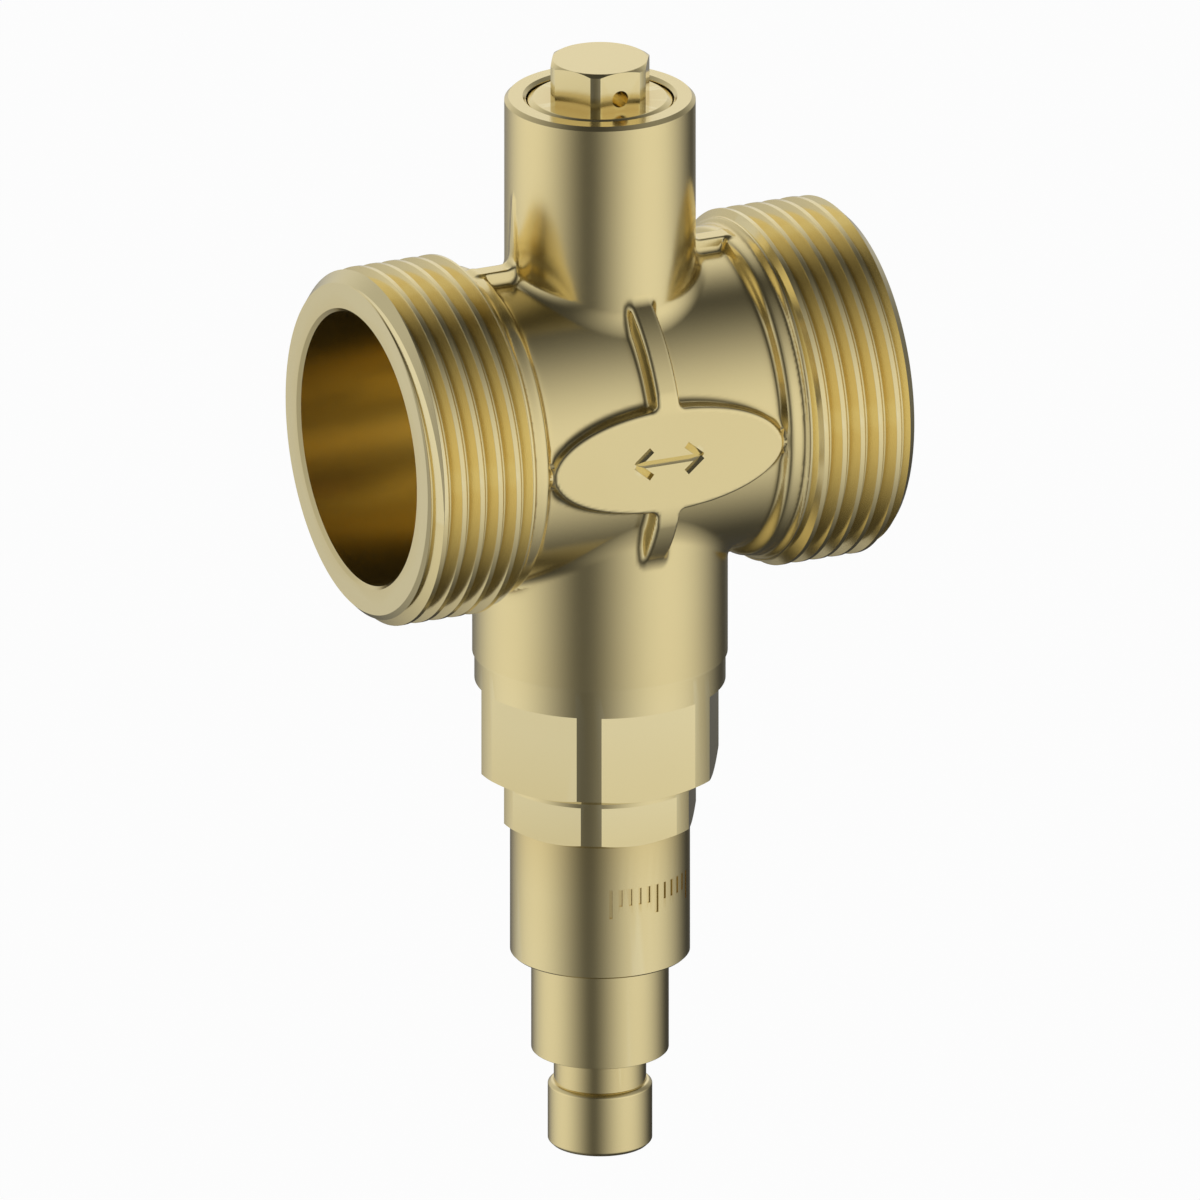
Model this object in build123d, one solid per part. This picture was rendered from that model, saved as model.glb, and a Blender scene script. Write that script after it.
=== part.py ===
from build123d import *

import os
from math import hypot, radians, sin, tan

# Run of the body, along X, with a male pipe thread at each end
run_half_length = 31.05
run_bore_radius = 16.1
bore_entry_chamfer = 0.4
pipe_thread_radius = 20.955
pipe_thread_length = 11.65
pipe_thread_chamfer = 1.15
barrel_radius = 17.9

# Ring steps between the barrel and each thread, measured back from the thread's inner end
step_lengths_back = (5.1, 4.0, 2.6)
step_heights = (0.9, 1.5, 2.4)
step_riser_length = 0.5
step_tread_rise = 0.18

# Forged rib round the run, ribs beside the top boss, and the oval pads, all raised on the barrel
ring_rib_height = 2.85
ring_rib_width = 2.4
side_rib_height = 1.75
side_rib_width = 2.9
side_rib_reach = 16.2
rib_draft = 0.3
pad_height = 1.1
pad_half_length = 14.35
pad_half_height = 6.3
top_boss_blend = 2.5
lower_boss_blend = 2.5

# Top boss, which takes the vent plug
top_boss_radius = 11.08
top_boss_top_z = 38.75
top_boss_chamfer = 0.45
plug_recess_radius = 8.6
plug_recess_depth = 2.65
plug_recess_chamfer = 0.36
plug_thread_radius = 7.0
plug_bore_bottom_z = 24.0
vent_port_radius = 3.5

# Lower boss, which takes the thermostatic cartridge
lower_boss_radius = 14.79
lower_boss_face_z = -29.33
cartridge_thread_radius = 12.0
cartridge_bore_depth = 8.83
drain_port_radius = 7.0

# Clearances
thread_clearance = 0.05
running_clearance = 0.06
seat_clearance = 0.05
thread_end_room = 0.4

# Hexagons: corners turned round, with a chamfer of 30 degrees
hex_chamfer_angle = 30

# Vent plug
plug_flange_top_z = 38.6
plug_flange_radius = 8.4
plug_flange_chamfer = 0.66
plug_hex_flats = 11.05
plug_hex_corner_radius = 6.07
plug_hex_top_z = 43.35
plug_hex_chamfer = 0.35
plug_shank_length = 10.7
plug_chamber_radius = 4.6
air_hole_radius = 1.2
cross_hole_radius = 1.0
cross_hole_z = 40.1
valve_seat_z = 34.0
valve_seat_height = 0.4
valve_seat_width = 0.7

# Seals in their grooves
seal_groove_lip = 0.7
seal_height_share = 1.1
plug_groove_depth = 1.25
plug_groove_length = 1.6

# Vent poppet and what holds it
poppet_radius = 3.9
poppet_thickness = 2.0
poppet_stem_radius = 1.2
poppet_stem_end_z = 24.8
poppet_seal_radius = 3.0
poppet_seal_thickness = 1.0
poppet_seal_recess = 0.6
vent_retainer_thickness = 0.8
vent_retainer_flats = 3.75
vent_spring_radius = 3.2
vent_spring_wire = 0.4
vent_spring_turns = 3

# Cartridge housing
housing_collar_radius = 14.54
housing_collar_length = 3.37
housing_hex_flats = 26.5
housing_hex_end_z = -43.75
housing_hex_chamfer = 0.75
housing_chamber_radius = 8.6
housing_ledge_z = -36.2
housing_ledge_thickness = 1.2
lower_thread_radius = 9.4
housing_groove_length = 1.7
housing_groove_depth = 1.25

# Wax capsule and its piston
capsule_radius = 4.0
capsule_top_z = -22.0
capsule_shoulder_radius = 5.4
capsule_shoulder_length = 1.6
capsule_neck_radius = 3.2
capsule_neck_length = 5.4
capsule_travel = 2.5
piston_radius = 1.5
piston_grip = 2.1
piston_bore_room = 1.0

# Carrier below the capsule and spring plate above it
carrier_thickness = 1.6
plate_thickness = 1.2
plate_hole_radius = 4.2
plate_flats = 6.0
water_flat_count = 3
snap_ring_thickness = 0.8
snap_ring_width = 1.4
snap_ring_depth = 0.7
snap_ring_lip = 0.7
snap_ring_gap_angle = 40
overtravel_spring_radius = 4.85
overtravel_spring_wire = 0.95
overtravel_spring_turns = 3.5

# Obturator, the piece that opens and shuts the drain
obturator_flange_z = -44.4
obturator_flange_thickness = 1.6
obturator_socket_depth = 1.2
obturator_stem_radius = 2.4
obturator_head_radius = 4.6
obturator_head_thickness = 2.2
obturator_travel = 2.0
obturator_flats = 6.1
drain_seal_radius = 4.1
drain_seal_thickness = 1.2
drain_seal_recess = 0.9
return_spring_radius = 5.6
return_spring_wire = 0.85
return_spring_turns = 3.5

# Seat ring
seat_lip_z = -56.9
seat_lip_height = 0.6
seat_lip_width = 0.7
seat_bore_radius = 3.2
seat_ring_thickness = 2.5

# Lower housing
lower_collar_radius = 11.75
lower_collar_length = 1.05
lower_hex_flats = 21.45
lower_hex_end_z = -50.05
lower_hex_chamfer = 0.6
sleeve_radius = 10.415
sleeve_end_z = -66.27
sleeve_edge_break = 0.2
lower_chamber_radius = 7.0
lower_spigot_length = 5.5
nozzle_thread_radius = 5.85
lower_groove_length = 1.4
lower_groove_depth = 0.95

# Outlet nozzle
nozzle_step_radius = 7.965
nozzle_step_end_z = -78.23
nozzle_neck_radius = 5.35
nozzle_neck_end_z = -82.2
nozzle_tip_radius = 6.05
nozzle_tip_end_z = -89.77
nozzle_tip_round = 0.4
nozzle_bore_radius = 3.6
nozzle_spigot_length = 5.6
nozzle_groove_length = 1.4
nozzle_groove_depth = 0.95

# Places that follow from the sizes above
ring_rib_radius = barrel_radius + ring_rib_height
side_rib_top_z = barrel_radius + side_rib_height
pad_face_distance = barrel_radius + pad_height
pipe_thread_start = run_half_length - pipe_thread_length
plug_seat_z = top_boss_top_z - plug_recess_depth
plug_shank_end_z = plug_seat_z - plug_shank_length
plug_groove_top_z = plug_seat_z - seal_groove_lip
chamber_roof_z = valve_seat_z + valve_seat_height
poppet_top_z = valve_seat_z - poppet_seal_thickness + poppet_seal_recess
poppet_bottom_z = poppet_top_z - poppet_thickness
vent_spring_z = plug_shank_end_z + vent_retainer_thickness
cartridge_bore_end_z = lower_boss_face_z + cartridge_bore_depth
housing_top_z = cartridge_bore_end_z - thread_end_room
housing_hex_start_z = lower_boss_face_z - housing_collar_length
housing_groove_z = lower_boss_face_z + seal_groove_lip
ledge_bottom_z = housing_ledge_z - housing_ledge_thickness
carrier_top_z = housing_ledge_z + carrier_thickness
shoulder_top_z = carrier_top_z + capsule_shoulder_length
capsule_neck_end_z = carrier_top_z - capsule_neck_length
snap_ring_z = housing_top_z - snap_ring_lip
plate_top_z = snap_ring_z - snap_ring_thickness
plate_bottom_z = plate_top_z - plate_thickness
socket_floor_z = obturator_flange_z - obturator_socket_depth
piston_top_z = carrier_top_z + capsule_travel + piston_grip
piston_bore_end_z = piston_top_z + obturator_travel + piston_bore_room
obturator_flange_bottom_z = obturator_flange_z - obturator_flange_thickness
drain_seal_top_z = seat_lip_z + drain_seal_thickness
obturator_head_bottom_z = drain_seal_top_z - drain_seal_recess
obturator_head_top_z = obturator_head_bottom_z + obturator_head_thickness
seat_ring_top_z = seat_lip_z - seat_lip_height
seat_ring_bottom_z = seat_ring_top_z - seat_ring_thickness
lower_hex_start_z = housing_hex_end_z - lower_collar_length
lower_top_z = housing_hex_end_z + lower_spigot_length
lower_groove_z = housing_hex_end_z + seal_groove_lip
nozzle_groove_z = sleeve_end_z + seal_groove_lip
nozzle_top_z = sleeve_end_z + nozzle_spigot_length


def turned(*corners):
    """A piece turned about the stem axis, from the (radius, z) corners of its half section."""
    section = Plane.XZ * make_face(Polyline(*corners, close=True))
    return revolve(section, Axis.Z, 360)


def ring(outer_radius, inner_radius, low_z, high_z):
    """A plain ring or tube about the stem axis."""
    return turned(
        (inner_radius, low_z),
        (outer_radius, low_z),
        (outer_radius, high_z),
        (inner_radius, high_z),
    )


def disc(radius, low_z, high_z):
    """A plain disc or rod about the stem axis."""
    return ring(radius, 0, low_z, high_z)


def hexagon(across_flats, corner_radius, base_z, end_z, chamfer_height):
    """A spanner hexagon with turned corners, and a chamfer at its free end, end_z."""
    prism = extrude(RegularPolygon(across_flats / 2, 6, major_radius=False), abs(end_z - base_z))
    prism = Pos(0, 0, min(base_z, end_z)) * prism
    towards_base = 1 if base_z > end_z else -1
    end_radius = corner_radius - chamfer_height / tan(radians(hex_chamfer_angle))
    envelope = turned(
        (0, base_z),
        (corner_radius, base_z),
        (corner_radius, end_z + towards_base * chamfer_height),
        (end_radius, end_z),
        (0, end_z),
    )
    return prism & envelope


def with_water_flats(plate, flat_distance, low_z, high_z):
    """A round plate with flats on its rim, which water passes by."""
    outline = RegularPolygon(flat_distance, water_flat_count, major_radius=False)
    return plate & Pos(0, 0, low_z) * extrude(outline, high_z - low_z)


def coil_spring(mean_radius, wire, low_z, high_z, turns):
    """A compression spring, its two ends ground flat where it bears."""
    wire_radius = wire / 2
    sink = wire_radius / 2
    height = high_z - low_z - 2 * (wire_radius - sink)
    path = Pos(0, 0, low_z + wire_radius - sink) * Helix(height / turns, height, mean_radius)
    section = Plane(origin=path @ 0, x_dir=(1, 0, 0), z_dir=path % 0) * Rectangle(wire, wire)
    coil = sweep(section, path, is_frenet=True)
    return coil & ring(mean_radius + wire, mean_radius - wire, low_z, high_z)


def seal_ring(groove_radius, wall_radius, groove_low_z, groove_high_z):
    """A rubber ring, squeezed between a groove's floor and the wall round it."""
    middle_z = (groove_low_z + groove_high_z) / 2
    inner_radius = groove_radius + seat_clearance
    outer_radius = wall_radius - seat_clearance
    half_height = (outer_radius - inner_radius) * seal_height_share / 2
    return ring(outer_radius, inner_radius, middle_z - half_height, middle_z + half_height)


def snap_ring(outer_radius, inner_radius, low_z, high_z):
    """An open spring ring that snaps into a groove."""
    gap_half_width = outer_radius * sin(radians(snap_ring_gap_angle / 2))
    gap = Pos(outer_radius, 0, (low_z + high_z) / 2) * Box(
        2 * outer_radius, 2 * gap_half_width, 2 * (high_z - low_z)
    )
    return ring(outer_radius, inner_radius, low_z, high_z) - gap


def run_half_outline():
    """The outside of the run's right half, as (distance along the run, radius) corners."""
    corners = []
    inner_radius = barrel_radius
    for length_back, height in zip(step_lengths_back, step_heights):
        riser_x = pipe_thread_start - length_back
        radius = barrel_radius + height
        corners.append((riser_x, inner_radius))
        corners.append((riser_x + step_riser_length, radius))
        inner_radius = radius + step_tread_rise
    corners.append((pipe_thread_start, pipe_thread_radius))
    corners.append((run_half_length - pipe_thread_chamfer, pipe_thread_radius))
    corners.append((run_half_length, pipe_thread_radius - pipe_thread_chamfer))
    return corners


def turned_about_run(corners):
    """A solid turned about the run's axis, its seam at the side, from (distance, radius) corners."""
    section = make_face(Polyline(*corners, close=True))
    return revolve(section, Axis.X, 360)


def run_solid():
    """The forged run: the barrel, its ring steps and the two thread collars."""
    right = run_half_outline()
    left = [(-x, radius) for x, radius in reversed(right)]
    return turned_about_run([(-run_half_length, 0), *left, *right, (run_half_length, 0)])


def run_bore():
    """The water way through the run, with a chamfer at each mouth."""
    mouth_radius = run_bore_radius + bore_entry_chamfer
    chamfer_x = run_half_length - bore_entry_chamfer
    return turned_about_run(
        [
            (-run_half_length, 0),
            (-run_half_length, mouth_radius),
            (-chamfer_x, run_bore_radius),
            (chamfer_x, run_bore_radius),
            (run_half_length, mouth_radius),
            (run_half_length, 0),
        ]
    )


def top_boss():
    """The boss for the vent plug, from the run's axis up."""
    return turned(
        (0, 0),
        (top_boss_radius, 0),
        (top_boss_radius, top_boss_top_z - top_boss_chamfer),
        (top_boss_radius - top_boss_chamfer, top_boss_top_z),
        (0, top_boss_top_z),
    )


def ring_rib():
    """The forged rib round the run, between the bosses, cut flush with the pads."""
    half_width = ring_rib_width / 2
    band = turned_about_run(
        [
            (-half_width - rib_draft, 0),
            (-half_width - rib_draft, barrel_radius),
            (-half_width, ring_rib_radius),
            (half_width, ring_rib_radius),
            (half_width + rib_draft, barrel_radius),
            (half_width + rib_draft, 0),
        ]
    )
    return band & Box(2 * run_half_length, 2 * pad_face_distance, 4 * ring_rib_radius)


def oval_pads():
    """The flat oval pads on both sides of the run."""
    oval = Plane.XZ * Ellipse(pad_half_length, pad_half_height)
    return extrude(oval, pad_face_distance, both=True)


def side_ribs():
    """The straight ribs along the top of the run, on both sides of the top boss."""
    half_width = side_rib_width / 2
    section = Polyline(
        (-half_width - rib_draft, 0),
        (-half_width - rib_draft, barrel_radius),
        (-half_width, side_rib_top_z),
        (half_width, side_rib_top_z),
        (half_width + rib_draft, barrel_radius),
        (half_width + rib_draft, 0),
        close=True,
    )
    return extrude(Plane.YZ * make_face(section), side_rib_reach, both=True)


def plug_seating():
    """The cut for the vent plug: recess, threaded bore and the port from the run."""
    recess_chamfer_z = top_boss_top_z - plug_recess_chamfer
    return turned(
        (0, 0),
        (vent_port_radius, 0),
        (vent_port_radius, plug_bore_bottom_z),
        (plug_thread_radius, plug_bore_bottom_z),
        (plug_thread_radius, plug_seat_z),
        (plug_recess_radius, plug_seat_z),
        (plug_recess_radius, recess_chamfer_z),
        (plug_recess_radius + plug_recess_chamfer, top_boss_top_z),
        (0, top_boss_top_z),
    )


def cartridge_seating():
    """The cut for the cartridge: threaded bore and the port from the run."""
    return turned(
        (0, 0),
        (drain_port_radius, 0),
        (drain_port_radius, cartridge_bore_end_z),
        (cartridge_thread_radius, cartridge_bore_end_z),
        (cartridge_thread_radius, lower_boss_face_z),
        (0, lower_boss_face_z),
    )


def boss_root(forging, boss_radius, side):
    """The edges where a boss stands on the barrel, on the side (1 above, -1 below) asked for."""
    barrel_square = (barrel_radius + running_clearance) ** 2
    roots = []
    for edge in forging.edges():
        middle = edge @ 0.5
        on_boss = abs(hypot(middle.X, middle.Y) - boss_radius) < running_clearance
        on_barrel = middle.Y**2 + middle.Z**2 < barrel_square
        if on_boss and on_barrel and side * middle.Z > 0:
            roots.append(edge)
    return roots


def barrel_with_bosses():
    """The barrel with the two bosses, blended together."""
    forging = turned_about_run(
        [
            (-run_half_length, 0),
            (-run_half_length, barrel_radius),
            (run_half_length, barrel_radius),
            (run_half_length, 0),
        ]
    )
    forging = forging + top_boss() + disc(lower_boss_radius, lower_boss_face_z, 0)
    forging = fillet(boss_root(forging, top_boss_radius, 1), top_boss_blend)
    return fillet(boss_root(forging, lower_boss_radius, -1), lower_boss_blend)


def valve_body():
    """The forged and turned body, one piece of brass."""
    forging = barrel_with_bosses() + run_solid() + ring_rib() + oval_pads() + side_ribs()
    return forging - run_bore() - plug_seating() - cartridge_seating()


def vent_plug():
    """The hexagon plug with the vacuum breaker's chamber, air hole and valve seat."""
    shank_radius = plug_thread_radius - thread_clearance
    groove_radius = plug_thread_radius - plug_groove_depth
    chamfer_height = plug_flange_chamfer * tan(radians(hex_chamfer_angle))
    outside = turned(
        (0, plug_shank_end_z),
        (shank_radius, plug_shank_end_z),
        (shank_radius, plug_groove_top_z - plug_groove_length),
        (groove_radius, plug_groove_top_z - plug_groove_length),
        (groove_radius, plug_groove_top_z),
        (shank_radius, plug_groove_top_z),
        (shank_radius, plug_seat_z),
        (plug_flange_radius, plug_seat_z),
        (plug_flange_radius, plug_flange_top_z - chamfer_height),
        (plug_flange_radius - plug_flange_chamfer, plug_flange_top_z),
        (0, plug_flange_top_z),
    )
    head = hexagon(
        plug_hex_flats, plug_hex_corner_radius, plug_flange_top_z, plug_hex_top_z, plug_hex_chamfer
    )
    seat_radius = air_hole_radius + valve_seat_width
    inside = turned(
        (0, plug_shank_end_z),
        (plug_chamber_radius, plug_shank_end_z),
        (plug_chamber_radius, chamber_roof_z),
        (seat_radius, chamber_roof_z),
        (seat_radius, valve_seat_z),
        (air_hole_radius, valve_seat_z),
        (air_hole_radius, cross_hole_z),
        (0, cross_hole_z),
    )
    cross_hole = Pos(0, 0, cross_hole_z) * Rot(90, 0, 0) * Cylinder(cross_hole_radius, plug_hex_flats * 2)
    return outside + head - inside - cross_hole


def vent_plug_seal():
    """The rubber ring under the vent plug's flange."""
    return seal_ring(
        plug_thread_radius - plug_groove_depth,
        plug_thread_radius,
        plug_groove_top_z - plug_groove_length,
        plug_groove_top_z,
    )


def vent_poppet():
    """The poppet that water pressure and its spring hold against the plug's seat."""
    recess_radius = poppet_seal_radius + seat_clearance
    return turned(
        (0, poppet_stem_end_z),
        (poppet_stem_radius, poppet_stem_end_z),
        (poppet_stem_radius, poppet_bottom_z),
        (poppet_radius, poppet_bottom_z),
        (poppet_radius, poppet_top_z),
        (recess_radius, poppet_top_z),
        (recess_radius, poppet_top_z - poppet_seal_recess),
        (0, poppet_top_z - poppet_seal_recess),
    )


def vent_poppet_seal():
    """The rubber disc in the top of the poppet."""
    return disc(poppet_seal_radius, valve_seat_z - poppet_seal_thickness, valve_seat_z)


def vent_spring_retainer():
    """The plate pressed into the vent plug, which carries the spring and guides the stem."""
    plate = ring(
        plug_chamber_radius,
        poppet_stem_radius + running_clearance,
        plug_shank_end_z,
        vent_spring_z,
    )
    return with_water_flats(plate, vent_retainer_flats, plug_shank_end_z, vent_spring_z)


def vent_spring():
    """The light spring that closes the vacuum breaker."""
    return coil_spring(
        vent_spring_radius, vent_spring_wire, vent_spring_z, poppet_bottom_z, vent_spring_turns
    )


def cartridge_housing():
    """The threaded housing with the large hexagon, which carries the cartridge."""
    shank_radius = cartridge_thread_radius - thread_clearance
    groove_radius = cartridge_thread_radius - housing_groove_depth
    outside = turned(
        (0, housing_hex_start_z),
        (housing_collar_radius, housing_hex_start_z),
        (housing_collar_radius, lower_boss_face_z),
        (shank_radius, lower_boss_face_z),
        (shank_radius, housing_groove_z),
        (groove_radius, housing_groove_z),
        (groove_radius, housing_groove_z + housing_groove_length),
        (shank_radius, housing_groove_z + housing_groove_length),
        (shank_radius, housing_top_z),
        (0, housing_top_z),
    )
    grip = hexagon(
        housing_hex_flats,
        housing_collar_radius,
        housing_hex_start_z,
        housing_hex_end_z,
        housing_hex_chamfer,
    )
    ring_groove_radius = housing_chamber_radius + snap_ring_depth + seat_clearance
    inside = turned(
        (0, housing_hex_end_z),
        (lower_thread_radius, housing_hex_end_z),
        (lower_thread_radius, ledge_bottom_z),
        (lower_chamber_radius, ledge_bottom_z),
        (lower_chamber_radius, housing_ledge_z),
        (housing_chamber_radius, housing_ledge_z),
        (housing_chamber_radius, plate_top_z),
        (ring_groove_radius, plate_top_z),
        (ring_groove_radius, snap_ring_z + seat_clearance),
        (housing_chamber_radius, snap_ring_z + seat_clearance),
        (housing_chamber_radius, housing_top_z),
        (0, housing_top_z),
    )
    return outside + grip - inside


def cartridge_seal():
    """The rubber ring between the cartridge housing and the body."""
    return seal_ring(
        cartridge_thread_radius - housing_groove_depth,
        cartridge_thread_radius,
        housing_groove_z,
        housing_groove_z + housing_groove_length,
    )


def wax_capsule():
    """The sealed wax capsule: cup, crimped shoulder and neck, with the piston's bore."""
    bore_radius = piston_radius + running_clearance
    return turned(
        (bore_radius, capsule_neck_end_z),
        (capsule_neck_radius, capsule_neck_end_z),
        (capsule_neck_radius, carrier_top_z),
        (capsule_shoulder_radius, carrier_top_z),
        (capsule_shoulder_radius, shoulder_top_z),
        (capsule_radius, shoulder_top_z),
        (capsule_radius, capsule_top_z),
        (0, capsule_top_z),
        (0, piston_bore_end_z),
        (bore_radius, piston_bore_end_z),
    )


def capsule_piston():
    """The rod that the capsule pushes out against the obturator."""
    return disc(piston_radius, socket_floor_z, piston_top_z)


def housing_plate(bore_radius, low_z, high_z):
    """A plate with a bore and water flats, which drops into the cartridge housing."""
    plate = ring(housing_chamber_radius - seat_clearance, bore_radius, low_z, high_z)
    return with_water_flats(plate, plate_flats, low_z, high_z)


def capsule_carrier():
    """The plate on the housing's ledge that carries the capsule and guides its neck."""
    return housing_plate(capsule_neck_radius + running_clearance, housing_ledge_z, carrier_top_z)


def spring_plate():
    """The plate that holds the overtravel spring down on the capsule."""
    return housing_plate(plate_hole_radius, plate_bottom_z, plate_top_z)


def spring_plate_snap_ring():
    """The snap ring that holds the spring plate in the cartridge housing."""
    outer_radius = housing_chamber_radius + snap_ring_depth
    return snap_ring(outer_radius, outer_radius - snap_ring_width, plate_top_z, snap_ring_z)


def overtravel_spring():
    """The strong spring that yields when the wax expands after the drain is shut."""
    return coil_spring(
        overtravel_spring_radius,
        overtravel_spring_wire,
        shoulder_top_z,
        plate_bottom_z,
        overtravel_spring_turns,
    )


def obturator():
    """The spool with a guide flange at its top and the drain seal's cup at its foot."""
    socket_radius = piston_radius + running_clearance
    recess_radius = drain_seal_radius + seat_clearance
    spool = turned(
        (0, obturator_flange_bottom_z),
        (obturator_stem_radius, obturator_flange_bottom_z),
        (obturator_stem_radius, obturator_head_top_z),
        (obturator_head_radius, obturator_head_top_z),
        (obturator_head_radius, obturator_head_bottom_z),
        (recess_radius, obturator_head_bottom_z),
        (recess_radius, drain_seal_top_z),
        (0, drain_seal_top_z),
    )
    flange = disc(
        lower_chamber_radius - running_clearance, obturator_flange_bottom_z, obturator_flange_z
    )
    flange = with_water_flats(
        flange, obturator_flats, obturator_flange_bottom_z, obturator_flange_z
    )
    return spool + flange - disc(socket_radius, socket_floor_z, obturator_flange_z)


def drain_seal():
    """The rubber disc that shuts on the seat ring's lip."""
    return disc(drain_seal_radius, seat_lip_z, drain_seal_top_z)


def return_spring():
    """The spring that lifts the obturator when the capsule cools."""
    return coil_spring(
        return_spring_radius,
        return_spring_wire,
        seat_ring_top_z,
        obturator_flange_bottom_z,
        return_spring_turns,
    )


def seat_ring():
    """The ring with the drain's seat lip, pressed into the lower housing."""
    return turned(
        (seat_bore_radius, seat_ring_bottom_z),
        (lower_chamber_radius, seat_ring_bottom_z),
        (lower_chamber_radius, seat_ring_top_z),
        (seat_bore_radius + seat_lip_width, seat_ring_top_z),
        (seat_bore_radius + seat_lip_width, seat_lip_z),
        (seat_bore_radius, seat_lip_z),
    )


def lower_housing():
    """The housing with the small hexagon and the long sleeve, which holds the drain's seat."""
    spigot_radius = lower_thread_radius - thread_clearance
    groove_radius = lower_thread_radius - lower_groove_depth
    groove_high_z = lower_groove_z + lower_groove_length
    collar = turned(
        (0, lower_hex_start_z),
        (lower_collar_radius, lower_hex_start_z),
        (lower_collar_radius, housing_hex_end_z),
        (spigot_radius, housing_hex_end_z),
        (spigot_radius, lower_groove_z),
        (groove_radius, lower_groove_z),
        (groove_radius, groove_high_z),
        (spigot_radius, groove_high_z),
        (spigot_radius, lower_top_z),
        (0, lower_top_z),
    )
    grip = hexagon(
        lower_hex_flats, lower_collar_radius, lower_hex_start_z, lower_hex_end_z, lower_hex_chamfer
    )
    sleeve = turned(
        (0, lower_hex_end_z),
        (sleeve_radius, lower_hex_end_z),
        (sleeve_radius, sleeve_end_z + sleeve_edge_break),
        (sleeve_radius - sleeve_edge_break, sleeve_end_z),
        (0, sleeve_end_z),
    )
    inside = turned(
        (0, sleeve_end_z),
        (nozzle_thread_radius, sleeve_end_z),
        (nozzle_thread_radius, seat_ring_bottom_z),
        (lower_chamber_radius, seat_ring_bottom_z),
        (lower_chamber_radius, lower_top_z),
        (0, lower_top_z),
    )
    return collar + grip + sleeve - inside


def lower_housing_seal():
    """The rubber ring between the lower housing and the cartridge housing."""
    return seal_ring(
        lower_thread_radius - lower_groove_depth,
        lower_thread_radius,
        lower_groove_z,
        lower_groove_z + lower_groove_length,
    )


def outlet_nozzle():
    """The turned nozzle that the drain water leaves by, with its necked tip."""
    spigot_radius = nozzle_thread_radius - thread_clearance
    groove_radius = nozzle_thread_radius - nozzle_groove_depth
    groove_high_z = nozzle_groove_z + nozzle_groove_length
    return turned(
        (nozzle_bore_radius, nozzle_tip_end_z),
        (nozzle_tip_radius - nozzle_tip_round, nozzle_tip_end_z),
        (nozzle_tip_radius, nozzle_tip_end_z + nozzle_tip_round),
        (nozzle_tip_radius, nozzle_neck_end_z - nozzle_tip_round),
        (nozzle_tip_radius - nozzle_tip_round, nozzle_neck_end_z),
        (nozzle_neck_radius, nozzle_neck_end_z),
        (nozzle_neck_radius, nozzle_step_end_z),
        (nozzle_step_radius, nozzle_step_end_z),
        (nozzle_step_radius, sleeve_end_z),
        (spigot_radius, sleeve_end_z),
        (spigot_radius, nozzle_groove_z),
        (groove_radius, nozzle_groove_z),
        (groove_radius, groove_high_z),
        (spigot_radius, groove_high_z),
        (spigot_radius, nozzle_top_z),
        (nozzle_bore_radius, nozzle_top_z),
    )


def outlet_nozzle_seal():
    """The rubber ring between the nozzle and the lower housing."""
    return seal_ring(
        nozzle_thread_radius - nozzle_groove_depth,
        nozzle_thread_radius,
        nozzle_groove_z,
        nozzle_groove_z + nozzle_groove_length,
    )


pieces = (
    valve_body,
    vent_plug,
    vent_plug_seal,
    vent_poppet,
    vent_poppet_seal,
    vent_spring,
    vent_spring_retainer,
    cartridge_housing,
    cartridge_seal,
    wax_capsule,
    capsule_piston,
    capsule_carrier,
    overtravel_spring,
    spring_plate,
    spring_plate_snap_ring,
    obturator,
    drain_seal,
    return_spring,
    seat_ring,
    lower_housing,
    lower_housing_seal,
    outlet_nozzle,
    outlet_nozzle_seal,
)

os.makedirs("parts", exist_ok=True)
for piece in pieces:
    export_step(piece(), "parts/" + piece.__name__ + ".step")
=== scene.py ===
"""Looks of the anti-freeze valve: forged body, turned pieces, springs, finishes and studio."""

import logging
import math
from contextlib import contextmanager
from dataclasses import dataclass
from enum import Enum
from typing import Iterator, Sequence

import bpy
import numpy as np
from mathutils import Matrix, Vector


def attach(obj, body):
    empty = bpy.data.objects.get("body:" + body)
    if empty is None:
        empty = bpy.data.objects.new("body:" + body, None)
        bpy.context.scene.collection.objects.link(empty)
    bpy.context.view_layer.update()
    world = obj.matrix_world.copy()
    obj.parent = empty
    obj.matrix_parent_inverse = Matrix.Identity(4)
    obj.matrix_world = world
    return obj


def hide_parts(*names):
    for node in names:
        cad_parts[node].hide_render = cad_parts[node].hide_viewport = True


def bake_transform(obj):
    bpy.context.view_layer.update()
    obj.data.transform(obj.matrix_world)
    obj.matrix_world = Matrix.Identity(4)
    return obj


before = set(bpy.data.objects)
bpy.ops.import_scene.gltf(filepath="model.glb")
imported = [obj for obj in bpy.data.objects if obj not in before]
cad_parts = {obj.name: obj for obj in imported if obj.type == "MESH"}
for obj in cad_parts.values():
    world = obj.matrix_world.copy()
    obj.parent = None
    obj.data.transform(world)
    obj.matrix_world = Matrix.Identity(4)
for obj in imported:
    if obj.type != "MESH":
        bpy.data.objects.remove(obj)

log = logging.getLogger("valve")

MM = 0.001  # sizes here are in mm, and the frame is in metres
SEGMENTS = 128  # sides of a turned piece
ONE_SIDE = 2.2 * math.pi / SEGMENTS  # what one of them spans, and a little more
BROAD_FACE = 0.1 * MM**2  # a face larger than this is shaded by its own normal
OUTWARD = 0.97  # least cosine between a turned face's normal and the way out from the axis
SQUARE = 0.999  # least cosine between a square face's normal and the axis
LONGEST_EASE = 0.45  # the most of an edge that the round at its corner takes up
CHAMFER_SLOPE = math.tan(math.radians(30))  # the slope of the hexagons' and flange's chamfers
WELD = 1e-6  # vertices nearer to each other than this, in metres, are one
CUT_SPARE = 1.0  # how far a stock reaches past what is cut from it
ON_PLANE = 1e-8  # vertices nearer to a cutting plane than this, in metres, lie on it

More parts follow.
